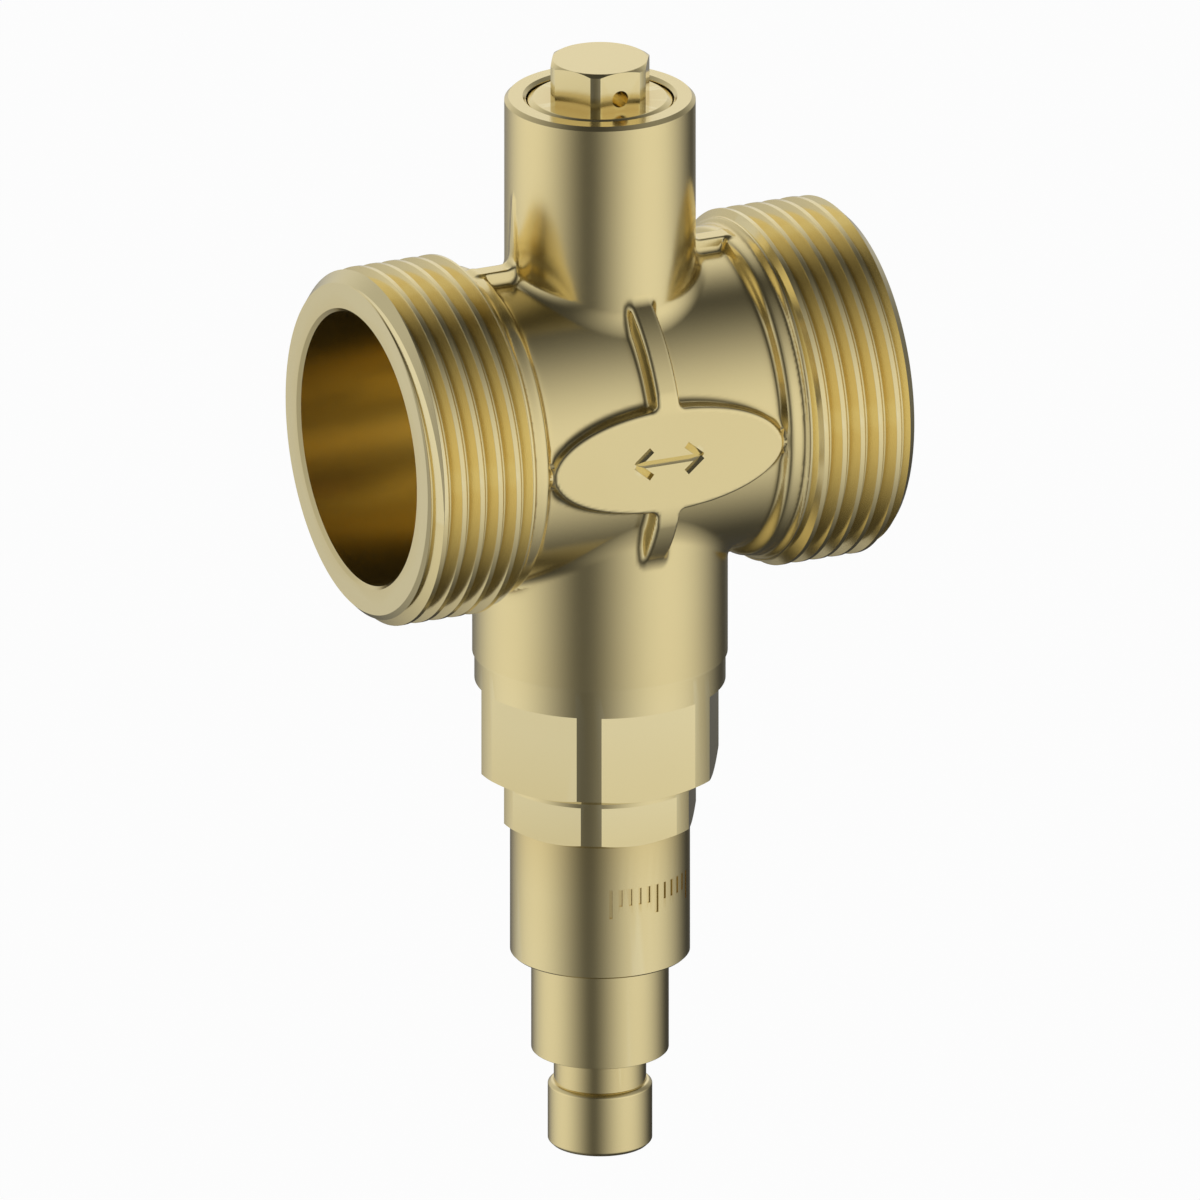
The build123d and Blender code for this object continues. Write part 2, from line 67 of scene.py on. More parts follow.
Piece = bpy.types.Object
Tree = bpy.types.NodeTree
Socket = bpy.types.NodeSocket
Corner = tuple[float, float]  # radius and place along the axis, in mm
Outline = Sequence[Corner]
Place = tuple[float, float, float]
Feeds = dict[str | int, object]  # a value or an output for each input of a node


class Solid(Enum):
    """How one solid acts on another."""

    JOIN = "UNION"
    CUT = "DIFFERENCE"
    TRIM = "INTERSECT"


class Along(Enum):
    """The three axes of the valve's round pieces, as turns of an upright one."""

    STEM = (0.0, 0.0, 0.0)
    RUN = (0.0, math.pi / 2, 0.0)
    ACROSS = (math.pi / 2, 0.0, 0.0)


# Hand tools


def only(*pieces: Piece) -> None:
    """Select these objects and nothing else."""
    for shown in bpy.context.selected_objects:
        shown.select_set(False)
    for piece in pieces:
        piece.select_set(True)
    bpy.context.view_layer.objects.active = pieces[0]


@contextmanager
def editing(piece: Piece, selected: bool = True) -> Iterator[None]:
    """Edit mode on one mesh, which starts with all of it selected, or nothing."""
    only(piece)
    bpy.ops.object.mode_set(mode="EDIT")
    bpy.ops.mesh.select_mode(type="VERT")
    bpy.ops.mesh.select_all(action="SELECT" if selected else "DESELECT")
    yield
    bpy.ops.object.mode_set(mode="OBJECT")


def settle(piece: Piece) -> None:
    """Settle the place, turn and size of a piece into its mesh."""
    only(piece)
    bpy.ops.object.transform_apply(location=True, rotation=True, scale=True)


def placed(name: str) -> Piece:
    """Name the primitive just added and settle its place into its mesh.

    Args:
        name: the name of the piece.

    Returns:
        The primitive, at the origin, unturned and unscaled.
    """
    piece = bpy.context.object
    piece.name = name
    settle(piece)
    return piece


def lift(piece: Piece, height: float) -> None:
    """Move the whole mesh of a piece up by a height in mm."""
    with editing(piece):
        bpy.ops.transform.translate(value=(0, 0, height * MM))


def apply(piece: Piece, kind: str, **settings: object) -> None:
    """Add a modifier with these settings and apply it.

    Args:
        piece: the mesh that it acts on.
        kind: the modifier's type.
        settings: its properties by name.
    """
    only(piece)
    modifier = piece.modifiers.new(kind.title(), kind)
    for key, value in settings.items():
        setattr(modifier, key, value)
    bpy.ops.object.modifier_apply(modifier=modifier.name)


def wind(
    piece: Piece, axis: str, turns: float, rise: float, steps: int, **settings: object
) -> None:
    """Draw a profile out along a helix, whose turns climb by a rise in mm."""
    settings |= {"axis": axis, "angle": 2 * math.pi * turns, "screw_offset": rise * MM}
    apply(piece, "SCREW", steps=steps, render_steps=steps, **settings)


def combine(piece: Piece, tool: Piece, how: Solid) -> None:
    """Let a tool solid act on a piece, and use the tool up.

    Args:
        piece: the solid that stays.
        tool: the solid that is used up.
        how: join, cut or trim.
    """
    before = len(piece.data.vertices)
    apply(piece, "BOOLEAN", operation=how.value, solver="MANIFOLD", object=tool)
    if len(piece.data.vertices) == before:
        raise RuntimeError(f"{tool.name} left {piece.name} as it was")
    bpy.data.objects.remove(tool)


def cut_off(piece: Piece, *planes: tuple[Place, Place]) -> None:
    """Cut a solid by planes, drop what lies beyond each and close the cut.

    Args:
        piece: the solid.
        planes: (a point in mm, the direction of what is dropped) for each cut.
    """
    with editing(piece):
        for place, normal in planes:
            bpy.ops.mesh.select_all(action="SELECT")
            bpy.ops.mesh.bisect(
                plane_co=[c * MM for c in place],
                plane_no=normal,
                use_fill=True,
                clear_outer=True,
                threshold=ON_PLANE,
            )


def outward(piece: Piece) -> None:
    """Turn all faces of a closed mesh outwards."""
    with editing(piece):
        bpy.ops.mesh.normals_make_consistent(inside=False)


def offset(origin: Corner, steps: Outline) -> list[Corner]:
    """Corners that lie at these steps outwards and along from one corner."""
    return [(origin[0] + outwards, origin[1] + along) for outwards, along in steps]


def eased(corners: Outline, ease: float, steps: int = 3) -> list[Corner]:
    """Break the corners of an outline with small rounds.

    Args:
        corners: (radius, place) along the outline, in mm.
        ease: how far from the corner the round starts, in mm.
        steps: how many edges the round has.

    Returns:
        The outline with its corners rounded, its two ends as they were.
    """
    if ease <= 0:
        return list(corners)
    outline = [corners[0]]
    for before, corner, after in zip(corners, corners[1:], corners[2:]):
        here = Vector(corner)
        back, ahead = Vector(before) - here, Vector(after) - here
        reach = min(ease, LONGEST_EASE * back.length, LONGEST_EASE * ahead.length)
        start, end = here + back.normalized() * reach, here + ahead.normalized() * reach
        for step in range(steps + 1):
            share = step / steps
            point = start * (1 - share) ** 2 + here * 2 * share * (1 - share) + end * share**2
            outline.append((point.x, point.y))
    outline.append(corners[-1])
    return outline


def turned(
    name: str,
    corners: Outline,
    along: Along = Along.STEM,
    ease: float = 0.0,
    segments: int = SEGMENTS,
) -> Piece:
    """Turn a closed solid from its outline, drawn out ring by ring from a circle.

    Args:
        name: the name of the piece.
        corners: (radius, place) along the outline, in mm, from one end face to the other.
        along: the axis that it is turned about.
        ease: the small round on its corners, in mm.
        segments: how many sides the turning has.

    Returns:
        The closed solid.
    """
    outline = eased(corners, ease)
    radius, place = outline[0]
    bpy.ops.mesh.primitive_circle_add(
        vertices=segments, radius=radius * MM, location=(0, 0, place * MM)
    )
    piece = placed(name)
    with editing(piece):
        for (radius, place), (next_radius, next_place) in zip(outline, outline[1:]):
            bpy.ops.mesh.extrude_region_move(
                TRANSFORM_OT_translate={"value": (0, 0, (next_place - place) * MM)}
            )
            growth = next_radius / radius
            bpy.ops.transform.resize(value=(growth, growth, 1), center_override=(0, 0, 0))
        bpy.ops.mesh.select_all(action="DESELECT")
        bpy.ops.mesh.select_non_manifold()
        bpy.ops.mesh.fill_holes(sides=0)
    piece.rotation_euler = along.value
    settle(piece)
    outward(piece)
    return piece


def rod(
    name: str,
    radius: float,
    low: float,
    high: float,
    along: Along = Along.STEM,
    sides: int = SEGMENTS,
) -> Piece:
    """A plain rod, the stock for a cut or a join.

    Args:
        name: the name of the piece.
        radius: its radius in mm.
        low: where it starts along its axis, in mm.
        high: where it ends along its axis, in mm.
        along: its axis.
        sides: how many sides it has.

    Returns:
        The rod.
    """
    bpy.ops.mesh.primitive_cylinder_add(
        vertices=sides, radius=radius * MM, depth=(high - low) * MM
    )
    piece = placed(name)
    lift(piece, (low + high) / 2)
    piece.rotation_euler = along.value
    settle(piece)
    return piece


def shade(piece: Piece, sharp: float = 32.0, turning: bool = True) -> None:
    """Shade smoothly but for edges sharper than an angle, with broad faces kept plane.

    Args:
        piece: the mesh.
        sharp: the angle in degrees.
        turning: whether the piece is turned about the stem.
    """
    only(piece)
    bpy.ops.object.shade_smooth_by_angle(angle=math.radians(sharp))
    apply(piece, "WEIGHTED_NORMAL", keep_sharp=True)
    if turning:
        normals = trued(piece.data, corner_normals(piece.data), (0, 1))
        piece.data.normals_split_custom_set(normals.tolist())


def read(items: bpy.types.bpy_prop_collection, key: str, kind: type, *row: int) -> np.ndarray:
    """Read one property of all items of a mesh.

    Args:
        items: its vertices, edges, faces or face corners.
        key: the property.
        kind: the numbers' type.
        row: how many numbers an item has, where it is more than one.

    Returns:
        The numbers, one entry or one row for each item.
    """
    numbers = np.empty((len(items), *row), dtype=kind)
    items.foreach_get(key, numbers.ravel())
    return numbers


def corner_normals(mesh: bpy.types.Mesh) -> np.ndarray:
    """The normals of a mesh's face corners, one row each."""
    return read(mesh.corner_normals, "vector", np.float32, 3)


def vertex_places(mesh: bpy.types.Mesh) -> np.ndarray:
    """The places of a mesh's vertices, one row each, in mm."""
    return read(mesh.vertices, "co", float, 3) / MM


def face_corners(mesh: bpy.types.Mesh) -> tuple[np.ndarray, np.ndarray]:
    """Which vertex and which face each face corner belongs to."""
    sizes = read(mesh.polygons, "loop_total", int)
    return read(mesh.loops, "vertex_index", int), np.repeat(np.arange(len(sizes)), sizes)


def trued(mesh: bpy.types.Mesh, normals: np.ndarray, across: tuple[int, int]) -> np.ndarray:
    """Turn the normals of turned faces straight away from their axis.

    A face that spans more than one side of the turning keeps its normals.

    Args:
        mesh: the mesh.
        normals: its face corners' normals.
        across: the two coordinates across the axis.

    Returns:
        The normals, with no share along the turning.
    """
    points = vertex_places(mesh)
    at, face = face_corners(mesh)
    angles = np.arctan2(points[:, across[1]], points[:, across[0]])[at]
    count = len(mesh.polygons)
    turns_x = np.bincount(face, np.cos(angles), count)
    turns_y = np.bincount(face, np.sin(angles), count)
    middle = np.arctan2(turns_y, turns_x)[face]
    apart = (angles - middle + np.pi) % (2 * np.pi) - np.pi
    furthest, nearest = np.zeros(count), np.zeros(count)
    np.maximum.at(furthest, face, apart)
    np.minimum.at(nearest, face, apart)
    narrow = (furthest - nearest <= ONE_SIDE)[face]
    own = read(mesh.polygons, "normal", float, 3)[face]
    broad = (read(mesh.polygons, "area", float) > BROAD_FACE)[face]
    outwards = np.zeros((len(at), 3))
    outwards[:, across[0]], outwards[:, across[1]] = np.cos(angles), np.sin(angles)
    along = np.zeros(3)
    along[3 - sum(across)] = 1.0
    leading = np.where(broad[:, None], own, normals)
    lengthwise = (leading @ along)[:, None] * along
    sideways = leading - lengthwise
    share = (sideways * outwards).sum(axis=1)
    reach = np.linalg.norm(sideways, axis=1) * np.sign(share)
    straight = lengthwise + reach[:, None] * outwards
    facing = np.abs(share) > OUTWARD * np.linalg.norm(sideways, axis=1)
    made = normals.copy()
    made[narrow & facing] = straight[narrow & facing]
    square = broad & (np.abs(own @ along) > SQUARE)
    made[square] = own[square]
    return made


def block(name: str, centre: Place, size: Place) -> Piece:
    """A plain block, the stock for a cut or a join.

    Args:
        name: the name of the piece.
        centre: its middle, in mm.
        size: its length along X, Y and Z, in mm.

    Returns:
        The block.
    """
    bpy.ops.mesh.primitive_cube_add(size=1, location=[c * MM for c in centre])
    bpy.context.object.scale = [s * MM for s in size]
    return placed(name)


# Forged body


@dataclass(frozen=True)
class ForgedSurface:
    """The skin of the forging as one smooth surface: bosses, ribs and pads that flow into the run.

    All its sizes and points are in mm.
    """

    barrel_radius: float = 17.9
    step_places: tuple[float, ...] = (15.1, 17.35)
    step_rises: tuple[float, ...] = (1.4, 0.8)
    step_rounds: tuple[float, ...] = (0.38, 0.24)
    top_boss_radius: float = 11.08
    lower_boss_radius: float = 14.79
    top_boss_blend: float = 1.35
    lower_boss_blend: float = 1.0
    rib_radius: float = 20.3
    rib_half_width: float = 1.42
    rib_lean: float = 0.12
    pad_face: float = 19.0
    pad_half_length: float = 14.7
    pad_half_height: float = 6.3
    side_rib_top: float = 19.5
    side_rib_half_width: float = 1.2
    side_rib_reach: float = 16.2
    side_rib_rake: float = 0.6
    side_rib_round: float = 0.3
    side_rib_root: float = 0.55
    side_rib_blend: float = 1.4
    edge_round: float = 0.5
    root_round: float = 0.7
    tip_round: float = 1.0
    tip_fade: tuple[float, float] = (2.0, 0.2)
    waist_round: float = 0.7
    least_slope: float = 1e-6
    least_steepness: float = 0.25
    probe: float = 0.01

    @staticmethod
    def blended(a: np.ndarray, b: np.ndarray, radius: float) -> np.ndarray:
        """Join two surfaces, given by distances from them, with a round fillet."""
        near = np.hypot(np.maximum(radius - a, 0), np.maximum(radius - b, 0))
        return np.maximum(radius, np.minimum(a, b)) - near

    @staticmethod
    def rounded(a: np.ndarray, b: np.ndarray, radius: float) -> np.ndarray:
        """Trim one surface by another, given by distances from them, with a rounded edge."""
        far = np.hypot(np.maximum(radius + a, 0), np.maximum(radius + b, 0))
        return np.minimum(-radius, np.maximum(a, b)) + far

    @property
    def land_radius(self) -> float:
        """The radius that the thread starts from, over all the ring steps."""
        return self.barrel_radius + sum(self.step_rises)

    def run_radius(self, x: np.ndarray) -> np.ndarray:
        """The run's radius along its half length, its ring steps soft as from forging."""
        radius = np.full_like(x, self.barrel_radius)
        for place, rise, softness in zip(self.step_places, self.step_rises, self.step_rounds):
            radius += rise * (1 + np.tanh((x - place) / softness)) / 2
        return radius

    def distance(self, points: np.ndarray) -> np.ndarray:
        """How far points lie outside the forging, negative inside."""
        x, y, z = np.abs(points[:, 0]), np.abs(points[:, 1]), points[:, 2]
        from_run = np.hypot(points[:, 1], z)
        from_stem = np.hypot(x, y)
        skin = from_run - self.run_radius(x)
        from_top_boss = from_stem - self.top_boss_radius
        from_lower_boss = np.maximum(from_stem - self.lower_boss_radius, z)
        skin = self.blended(skin, np.maximum(from_top_boss, -z), self.top_boss_blend)
        skin = self.blended(skin, from_lower_boss, self.lower_boss_blend)
        oval_reach = np.hypot(x / self.pad_half_length, z / self.pad_half_height)
        oval_slope = np.hypot(x / self.pad_half_length**2, z / self.pad_half_height**2)
        oval = oval_reach * (oval_reach - 1) / np.maximum(oval_slope, self.least_slope)
        band = x - self.rib_half_width - self.rib_lean * (self.rib_radius - from_run)
        outline = self.blended(band, oval, self.waist_round)
        height = self.rounded(y - self.pad_face, from_run - self.rib_radius, self.edge_round)
        relief = self.rounded(outline, height, self.edge_round)
        fade = [self.pad_half_length - before for before in self.tip_fade]
        root = np.interp(x, fade, (self.root_round, self.tip_round))
        skin = self.blended(skin, relief, root)
        wall = y - self.side_rib_half_width - self.rib_lean * (self.side_rib_top - z)
        ledge = self.blended(z - self.side_rib_top, from_top_boss, self.side_rib_blend)
        crown = np.maximum(self.rounded(wall, ledge, self.side_rib_round), -z)
        end = x + self.side_rib_rake * (z - self.side_rib_top) - self.side_rib_reach
        side_rib = self.rounded(crown, end, self.side_rib_round)
        return self.blended(skin, side_rib, self.side_rib_root)

    def slope(self, points: np.ndarray) -> np.ndarray:
        """The gradient of the distance at points, which is the skin's normal there."""
        slopes = []
        for offset in np.eye(3) * self.probe:
            ahead, back = self.distance(points + offset), self.distance(points - offset)
            slopes.append((ahead - back) / (2 * self.probe))
        return np.column_stack(slopes)

    def settled(self, points: np.ndarray, passes: int = 8, longest: float = 0.4) -> np.ndarray:
        """Move points onto the skin along its normals.

        Args:
            points: points near the skin.
            passes: how many steps they take.
            longest: the longest step.

        Returns:
            The points on the skin.
        """
        for _ in range(passes):
            slope = self.slope(points)
            steepness = np.maximum((slope**2).sum(axis=1), self.least_steepness)
            step = np.clip(self.distance(points) / steepness, -longest, longest)
            points = points - step[:, None] * slope
        return points


@dataclass
class ValveBody:
    """The forged and turned body: forging, two pipe threads, bores and the mark on its pad."""

    surface: ForgedSurface = ForgedSurface()
    run_half_length: float = 31.05
    thread_start: float = 17.8
    crest_radius: float = 20.955
    thread_depth: float = 1.479
    pitch: float = 2.309
    flank_angle: float = 27.5
    crest_flat: float = 0.55
    crest_ease: float = 0.04
    crest_ease_steps: int = 2
    thread_phases: tuple[float, float] = (0.345, 0.25)
    thread_lap: float = 0.2
    thread_spare: float = 0.3
    runout: Outline = ((-0.04, -0.2), (0.0, 0.0))  # from the edge of the land
    runout_end: Corner = (-0.1, 0.45)  # from the root beside that edge
    lead_in: Outline = ((-0.03, -0.2), (0.0, 0.05))  # from the edge of the land
    lead_in_end: float = 0.55
    crest_taper: float = 0.01
    lead_chamfer: float = 1.5
    forging_end: float = 17.7
    top_z: float = 38.75
    lower_z: float = -29.33
    bore_radius: float = 16.1
    mouth_chamfer: float = 0.4
    cut_over: float = 0.5
    rim_chamfer: Outline = ((0.8, -1.25), (-0.45, 0.0), (-0.47, 0.02))  # from the boss's edge
    rim_stock_radius: float = 14.0
    rim_stock_reach: float = 1.0
    plug_seating: Outline = (
        (3.5, 5.0), (3.5, 24.0), (7.0, 24.0), (7.0, 36.1), (8.6, 36.1), (8.6, 38.39), (9.96, 39.75)
    )
    cartridge_seating: Outline = ((12.0, -30.33), (12.0, -20.5), (7.0, -20.5), (7.0, -5.0))
    arrow_half_length: float = 4.2
    arrow_head: float = 2.6
    arrow_slant: float = math.radians(40)
    arrow_depth: float = 0.42
    stroke_sides: int = 4
    voxel: float = 0.36
    spare: float = 2.0
    settled_spare: float = 1.2
    pad_lap: float = 0.1
    tip_zone: Place = (2.2, 15.0, 4.5)  # reach from a pad's tip, front and half height
    relaxing: tuple[int, int] = (4, 20)  # passes over the whole skin and over the tips
    relax_share: float = 0.5
    relax_settling: int = 3
    bore_tolerance: float = 0.01
    skin_tolerance: float = 0.004
    least_agreement: float = 0.8

    def stock(self) -> Piece:
        """The rough stock of the forging, all its forms joined into one skin."""
        s = self.surface
        spare_end = self.forging_end + self.spare
        parts = [rod("forging", s.barrel_radius, -spare_end, spare_end, Along.RUN)]
        for place, radius in zip(s.step_places, s.barrel_radius + np.cumsum(s.step_rises)):
            for low, high in ((place, spare_end), (-spare_end, -place)):
                parts.append(rod("ring_step", radius, low, high, Along.RUN))
        parts.append(rod("top_boss", s.top_boss_radius, 0, self.top_z + self.spare))
        parts.append(rod("lower_boss", s.lower_boss_radius, self.lower_z - self.spare, 0))
        parts.append(rod("ring_rib", s.rib_radius, -s.rib_half_width, s.rib_half_width, Along.RUN))
        cut_off(parts[-1], ((0, s.pad_face, 0), (0, 1, 0)), ((0, -s.pad_face, 0), (0, -1, 0)))
        pads = rod("oval_pads", 1.0, -s.pad_face, s.pad_face, Along.ACROSS)
        pads.scale = (s.step_places[0] + self.pad_lap, 1, s.pad_half_height)
        settle(pads)
        parts.append(pads)
        ribs_size = (2 * s.side_rib_reach, 2 * s.side_rib_half_width, s.side_rib_top)
        parts.append(block("side_ribs", (0, 0, s.side_rib_top / 2), ribs_size))
        only(*parts)
        bpy.ops.object.join()
        piece = bpy.context.object
        apply(piece, "REMESH", mode="VOXEL", voxel_size=self.voxel * MM, adaptivity=0.0)
        return piece

    def forge(self) -> Piece:
        """The forging, its skin settled onto the smooth surface and its faces cut plane."""
        piece = self.stock()
        mesh = piece.data
        count = len(mesh.vertices)
        points = vertex_places(mesh)
        ends = read(mesh.edges, "vertices", int, 2)
        spare, height = self.settled_spare, points[:, 2]
        moving = (height < self.top_z + spare) & (height > self.lower_z - spare)
        moving &= np.abs(points[:, 0]) < self.forging_end + spare
        points[moving] = self.surface.settled(points[moving])
        valence = np.bincount(ends.ravel(), minlength=count)
        reach, front, half_height = self.tip_zone
        x, y, z = np.abs(points.T)
        tips = (np.abs(x - self.surface.pad_half_length) < reach) & (y > front) & (z < half_height)
        for region, passes in zip((moving, tips), self.relaxing):
            for _ in range(passes):
                mean = np.zeros_like(points)
                for near, far in (ends.T, ends.T[::-1]):
                    for axis in range(3):
                        mean[:, axis] += np.bincount(near, points[far, axis], count)
                mean /= valence[:, None]
                points[region] += self.relax_share * (mean - points)[region]
                points[region] = self.surface.settled(points[region], self.relax_settling)
        mesh.vertices.foreach_set("co", (points * MM).ravel())
        mesh.update()
        cut_off(
            piece,
            ((0, 0, self.top_z), (0, 0, 1)),
            ((0, 0, self.lower_z), (0, 0, -1)),
            ((self.forging_end, 0, 0), (1, 0, 0)),
            ((-self.forging_end, 0, 0), (-1, 0, 0)),
        )
        return piece

    def thread_profile(self) -> list[Corner]:
        """One turn of the thread in section, from root to root, its edges rounded."""
        flank = self.thread_depth * math.tan(math.radians(self.flank_angle))
        crest, root = self.crest_radius, self.crest_radius - self.thread_depth
        half_crest, half = self.crest_flat / 2, self.pitch / 2
        rising = [(root, -half), (root, -half_crest - flank), (crest, -half_crest)]
        falling = [(radius, -place) for radius, place in reversed(rising)]
        return eased(rising + falling, self.crest_ease, self.crest_ease_steps)

    def thread(self, name: str, phase: float) -> Piece:
        """The threaded end of the run that points along +X.

        Args:
            name: the name of the piece.
            phase: how far the thread is moved along, in pitches.

        Returns:
            The solid thread with its run-out and its lead chamfer.
        """
        profile = self.thread_profile()
        start = self.thread_start + (phase - 2) * self.pitch
        radius, place = profile[0]
        bpy.ops.mesh.primitive_plane_add(size=MM)
        piece = placed(name)
        with editing(piece):
            bpy.ops.mesh.merge(type="CENTER")
            bpy.ops.mesh.select_all(action="SELECT")
            bpy.ops.transform.translate(value=((start + place) * MM, 0, radius * MM))
            for (radius, place), (next_radius, next_place) in zip(profile, profile[1:]):
                step = ((next_place - place) * MM, 0, (next_radius - radius) * MM)
                bpy.ops.mesh.extrude_vertices_move(TRANSFORM_OT_translate={"value": step})
        turns = math.ceil((self.run_half_length - start) / self.pitch) + 1
        welded = {"use_merge_vertices": True, "merge_threshold": WELD}
        wind(piece, "X", 1.0, self.pitch, SEGMENTS, iterations=turns, **welded)
        with editing(piece):
            bpy.ops.mesh.remove_doubles(threshold=WELD)
        first, end, crest = self.thread_start, self.run_half_length, self.crest_radius
        lap, beyond = first - self.thread_lap, end + self.thread_spare
        cut_off(piece, ((lap, 0, 0), (-1, 0, 0)), ((beyond, 0, 0), (1, 0, 0)))
        outward(piece)
        land_edge = (self.surface.land_radius, first)
        root_edge = (crest - self.thread_depth, first)
        runout = [*offset(land_edge, self.runout), *offset(root_edge, [self.runout_end])]
        combine(piece, turned("runout", runout, Along.RUN), Solid.JOIN)
        envelope = [
            *offset(land_edge, self.lead_in),
            (crest, first + self.lead_in_end),
            (crest + self.crest_taper, end - self.lead_chamfer),
            (crest - self.lead_chamfer, end),
        ]
        combine(piece, turned("envelope", envelope, Along.RUN, self.crest_ease), Solid.TRIM)
        return piece

    def bore(self, piece: Piece) -> None:
        """Cut the water way, the vent plug's seating and the cartridge's seating."""
        end, chamfer, over = self.run_half_length, self.mouth_chamfer, self.cut_over
        water_way = [
            (self.bore_radius + chamfer + over, -end - over),
            (self.bore_radius, -end + chamfer),
            (self.bore_radius, end - chamfer),
            (self.bore_radius + chamfer + over, end + over),
        ]
        combine(piece, turned("water_way", water_way, Along.RUN), Solid.CUT)
        combine(piece, turned("plug_seating", self.plug_seating), Solid.CUT)
        reach = self.rim_stock_reach
        stock = offset((self.rim_stock_radius, self.top_z), [(0, -reach), (0, reach)])
        collar = turned("rim_stock", stock)
        cone = offset((self.surface.top_boss_radius, self.top_z), self.rim_chamfer)
        combine(collar, turned("rim_cone", cone), Solid.CUT)
        combine(piece, collar, Solid.CUT)
        combine(piece, turned("cartridge_seating", self.cartridge_seating), Solid.CUT)

    def engrave(self, piece: Piece) -> None:
        """Cut a plain two-way flow arrow into the front pad, in strokes with sloping sides."""
        face = -self.surface.pad_face
        strokes = [((0, 0), 0.0, self.arrow_half_length)]
        reach = self.arrow_head / 2
        for side in (-1, 1):
            for slant in (-self.arrow_slant, self.arrow_slant):
                inward, upward = reach * math.cos(slant), reach * math.sin(slant)
                place = (side * (self.arrow_half_length - inward), upward)
                strokes.append((place, side * slant, reach))
        for (x, z), lean, reach in strokes:
            stroke = rod("stroke", self.arrow_depth, -reach, reach, Along.RUN, self.stroke_sides)
            stroke.rotation_euler = (0, lean, 0)
            stroke.location = (x * MM, face * MM, z * MM)
            settle(stroke)
            combine(piece, stroke, Solid.CUT)

    def smooth(self, piece: Piece) -> None:
        """Shade the turned faces as turned, and the forged skin by its own surface."""
        shade(piece, turning=False)
        mesh = piece.data
        points = vertex_places(mesh)
        at, face = face_corners(mesh)
        normals = corner_normals(mesh)
        in_bore = np.hypot(points[:, 1], points[:, 2]) < self.bore_radius + self.bore_tolerance
        on_run = (in_bore | (np.abs(points[:, 0]) > self.forging_end))[at]
        for part, across in ((on_run, (1, 2)), (~on_run, (0, 1))):
            normals[part] = trued(mesh, normals, across)[part]
        slope = self.surface.slope(points)
        steepness = np.maximum(np.linalg.norm(slope, axis=1), self.surface.least_slope)
        slope /= steepness[:, None]
        on_skin = np.abs(self.surface.distance(points)) < self.skin_tolerance
        on_skin &= np.abs(points[:, 0]) <= self.forging_end
        own = read(mesh.polygons, "normal", float, 3)[face]
        agreement = (own * slope[at]).sum(axis=1)
        forged = on_skin[at] & (agreement > self.least_agreement)
        normals[forged] = slope[at][forged]
        mesh.normals_split_custom_set(normals.tolist())

    def build(self) -> Piece:
        """Make the whole body as one piece."""
        piece = self.forge()
        right, left = (
            self.thread(name, phase)
            for name, phase in zip(("right_thread", "left_thread"), self.thread_phases)
        )
        with editing(left):
            bpy.ops.transform.rotate(value=math.pi, orient_axis="Z", center_override=(0, 0, 0))
        combine(piece, right, Solid.JOIN)
        combine(piece, left, Solid.JOIN)
        self.bore(piece)
        self.engrave(piece)
        self.smooth(piece)
        piece.name = "forged_body"
        return piece


# Turned pieces


def hexagon(name: str, flats: float, envelope: Outline) -> Piece:
    """A spanner hexagon whose corners and end are turned to an envelope.

    Args:
        name: the name of the piece.
        flats: its size across the flats, in mm.
        envelope: the outline that it is turned to, from below.

    Returns:
        The hexagon.
    """
    low, high = envelope[0][1] - CUT_SPARE, envelope[-1][1] + CUT_SPARE
    bpy.ops.mesh.primitive_cylinder_add(
        vertices=6,
        radius=flats / 2 / math.cos(math.pi / 6) * MM,
        depth=(high - low) * MM,
        location=(0, 0, (low + high) / 2 * MM),
        rotation=(0, 0, math.pi / 6),
    )
    piece = placed(name)
    combine(piece, turned("turning", envelope), Solid.TRIM)
    return piece


def groove(shank: float, root: float, low: float, high: float) -> list[Corner]:
    """The outline of a seal's groove in a shank, by its two radii and its two ends in mm."""
    return [(shank, low), (root, low), (root, high), (shank, high)]


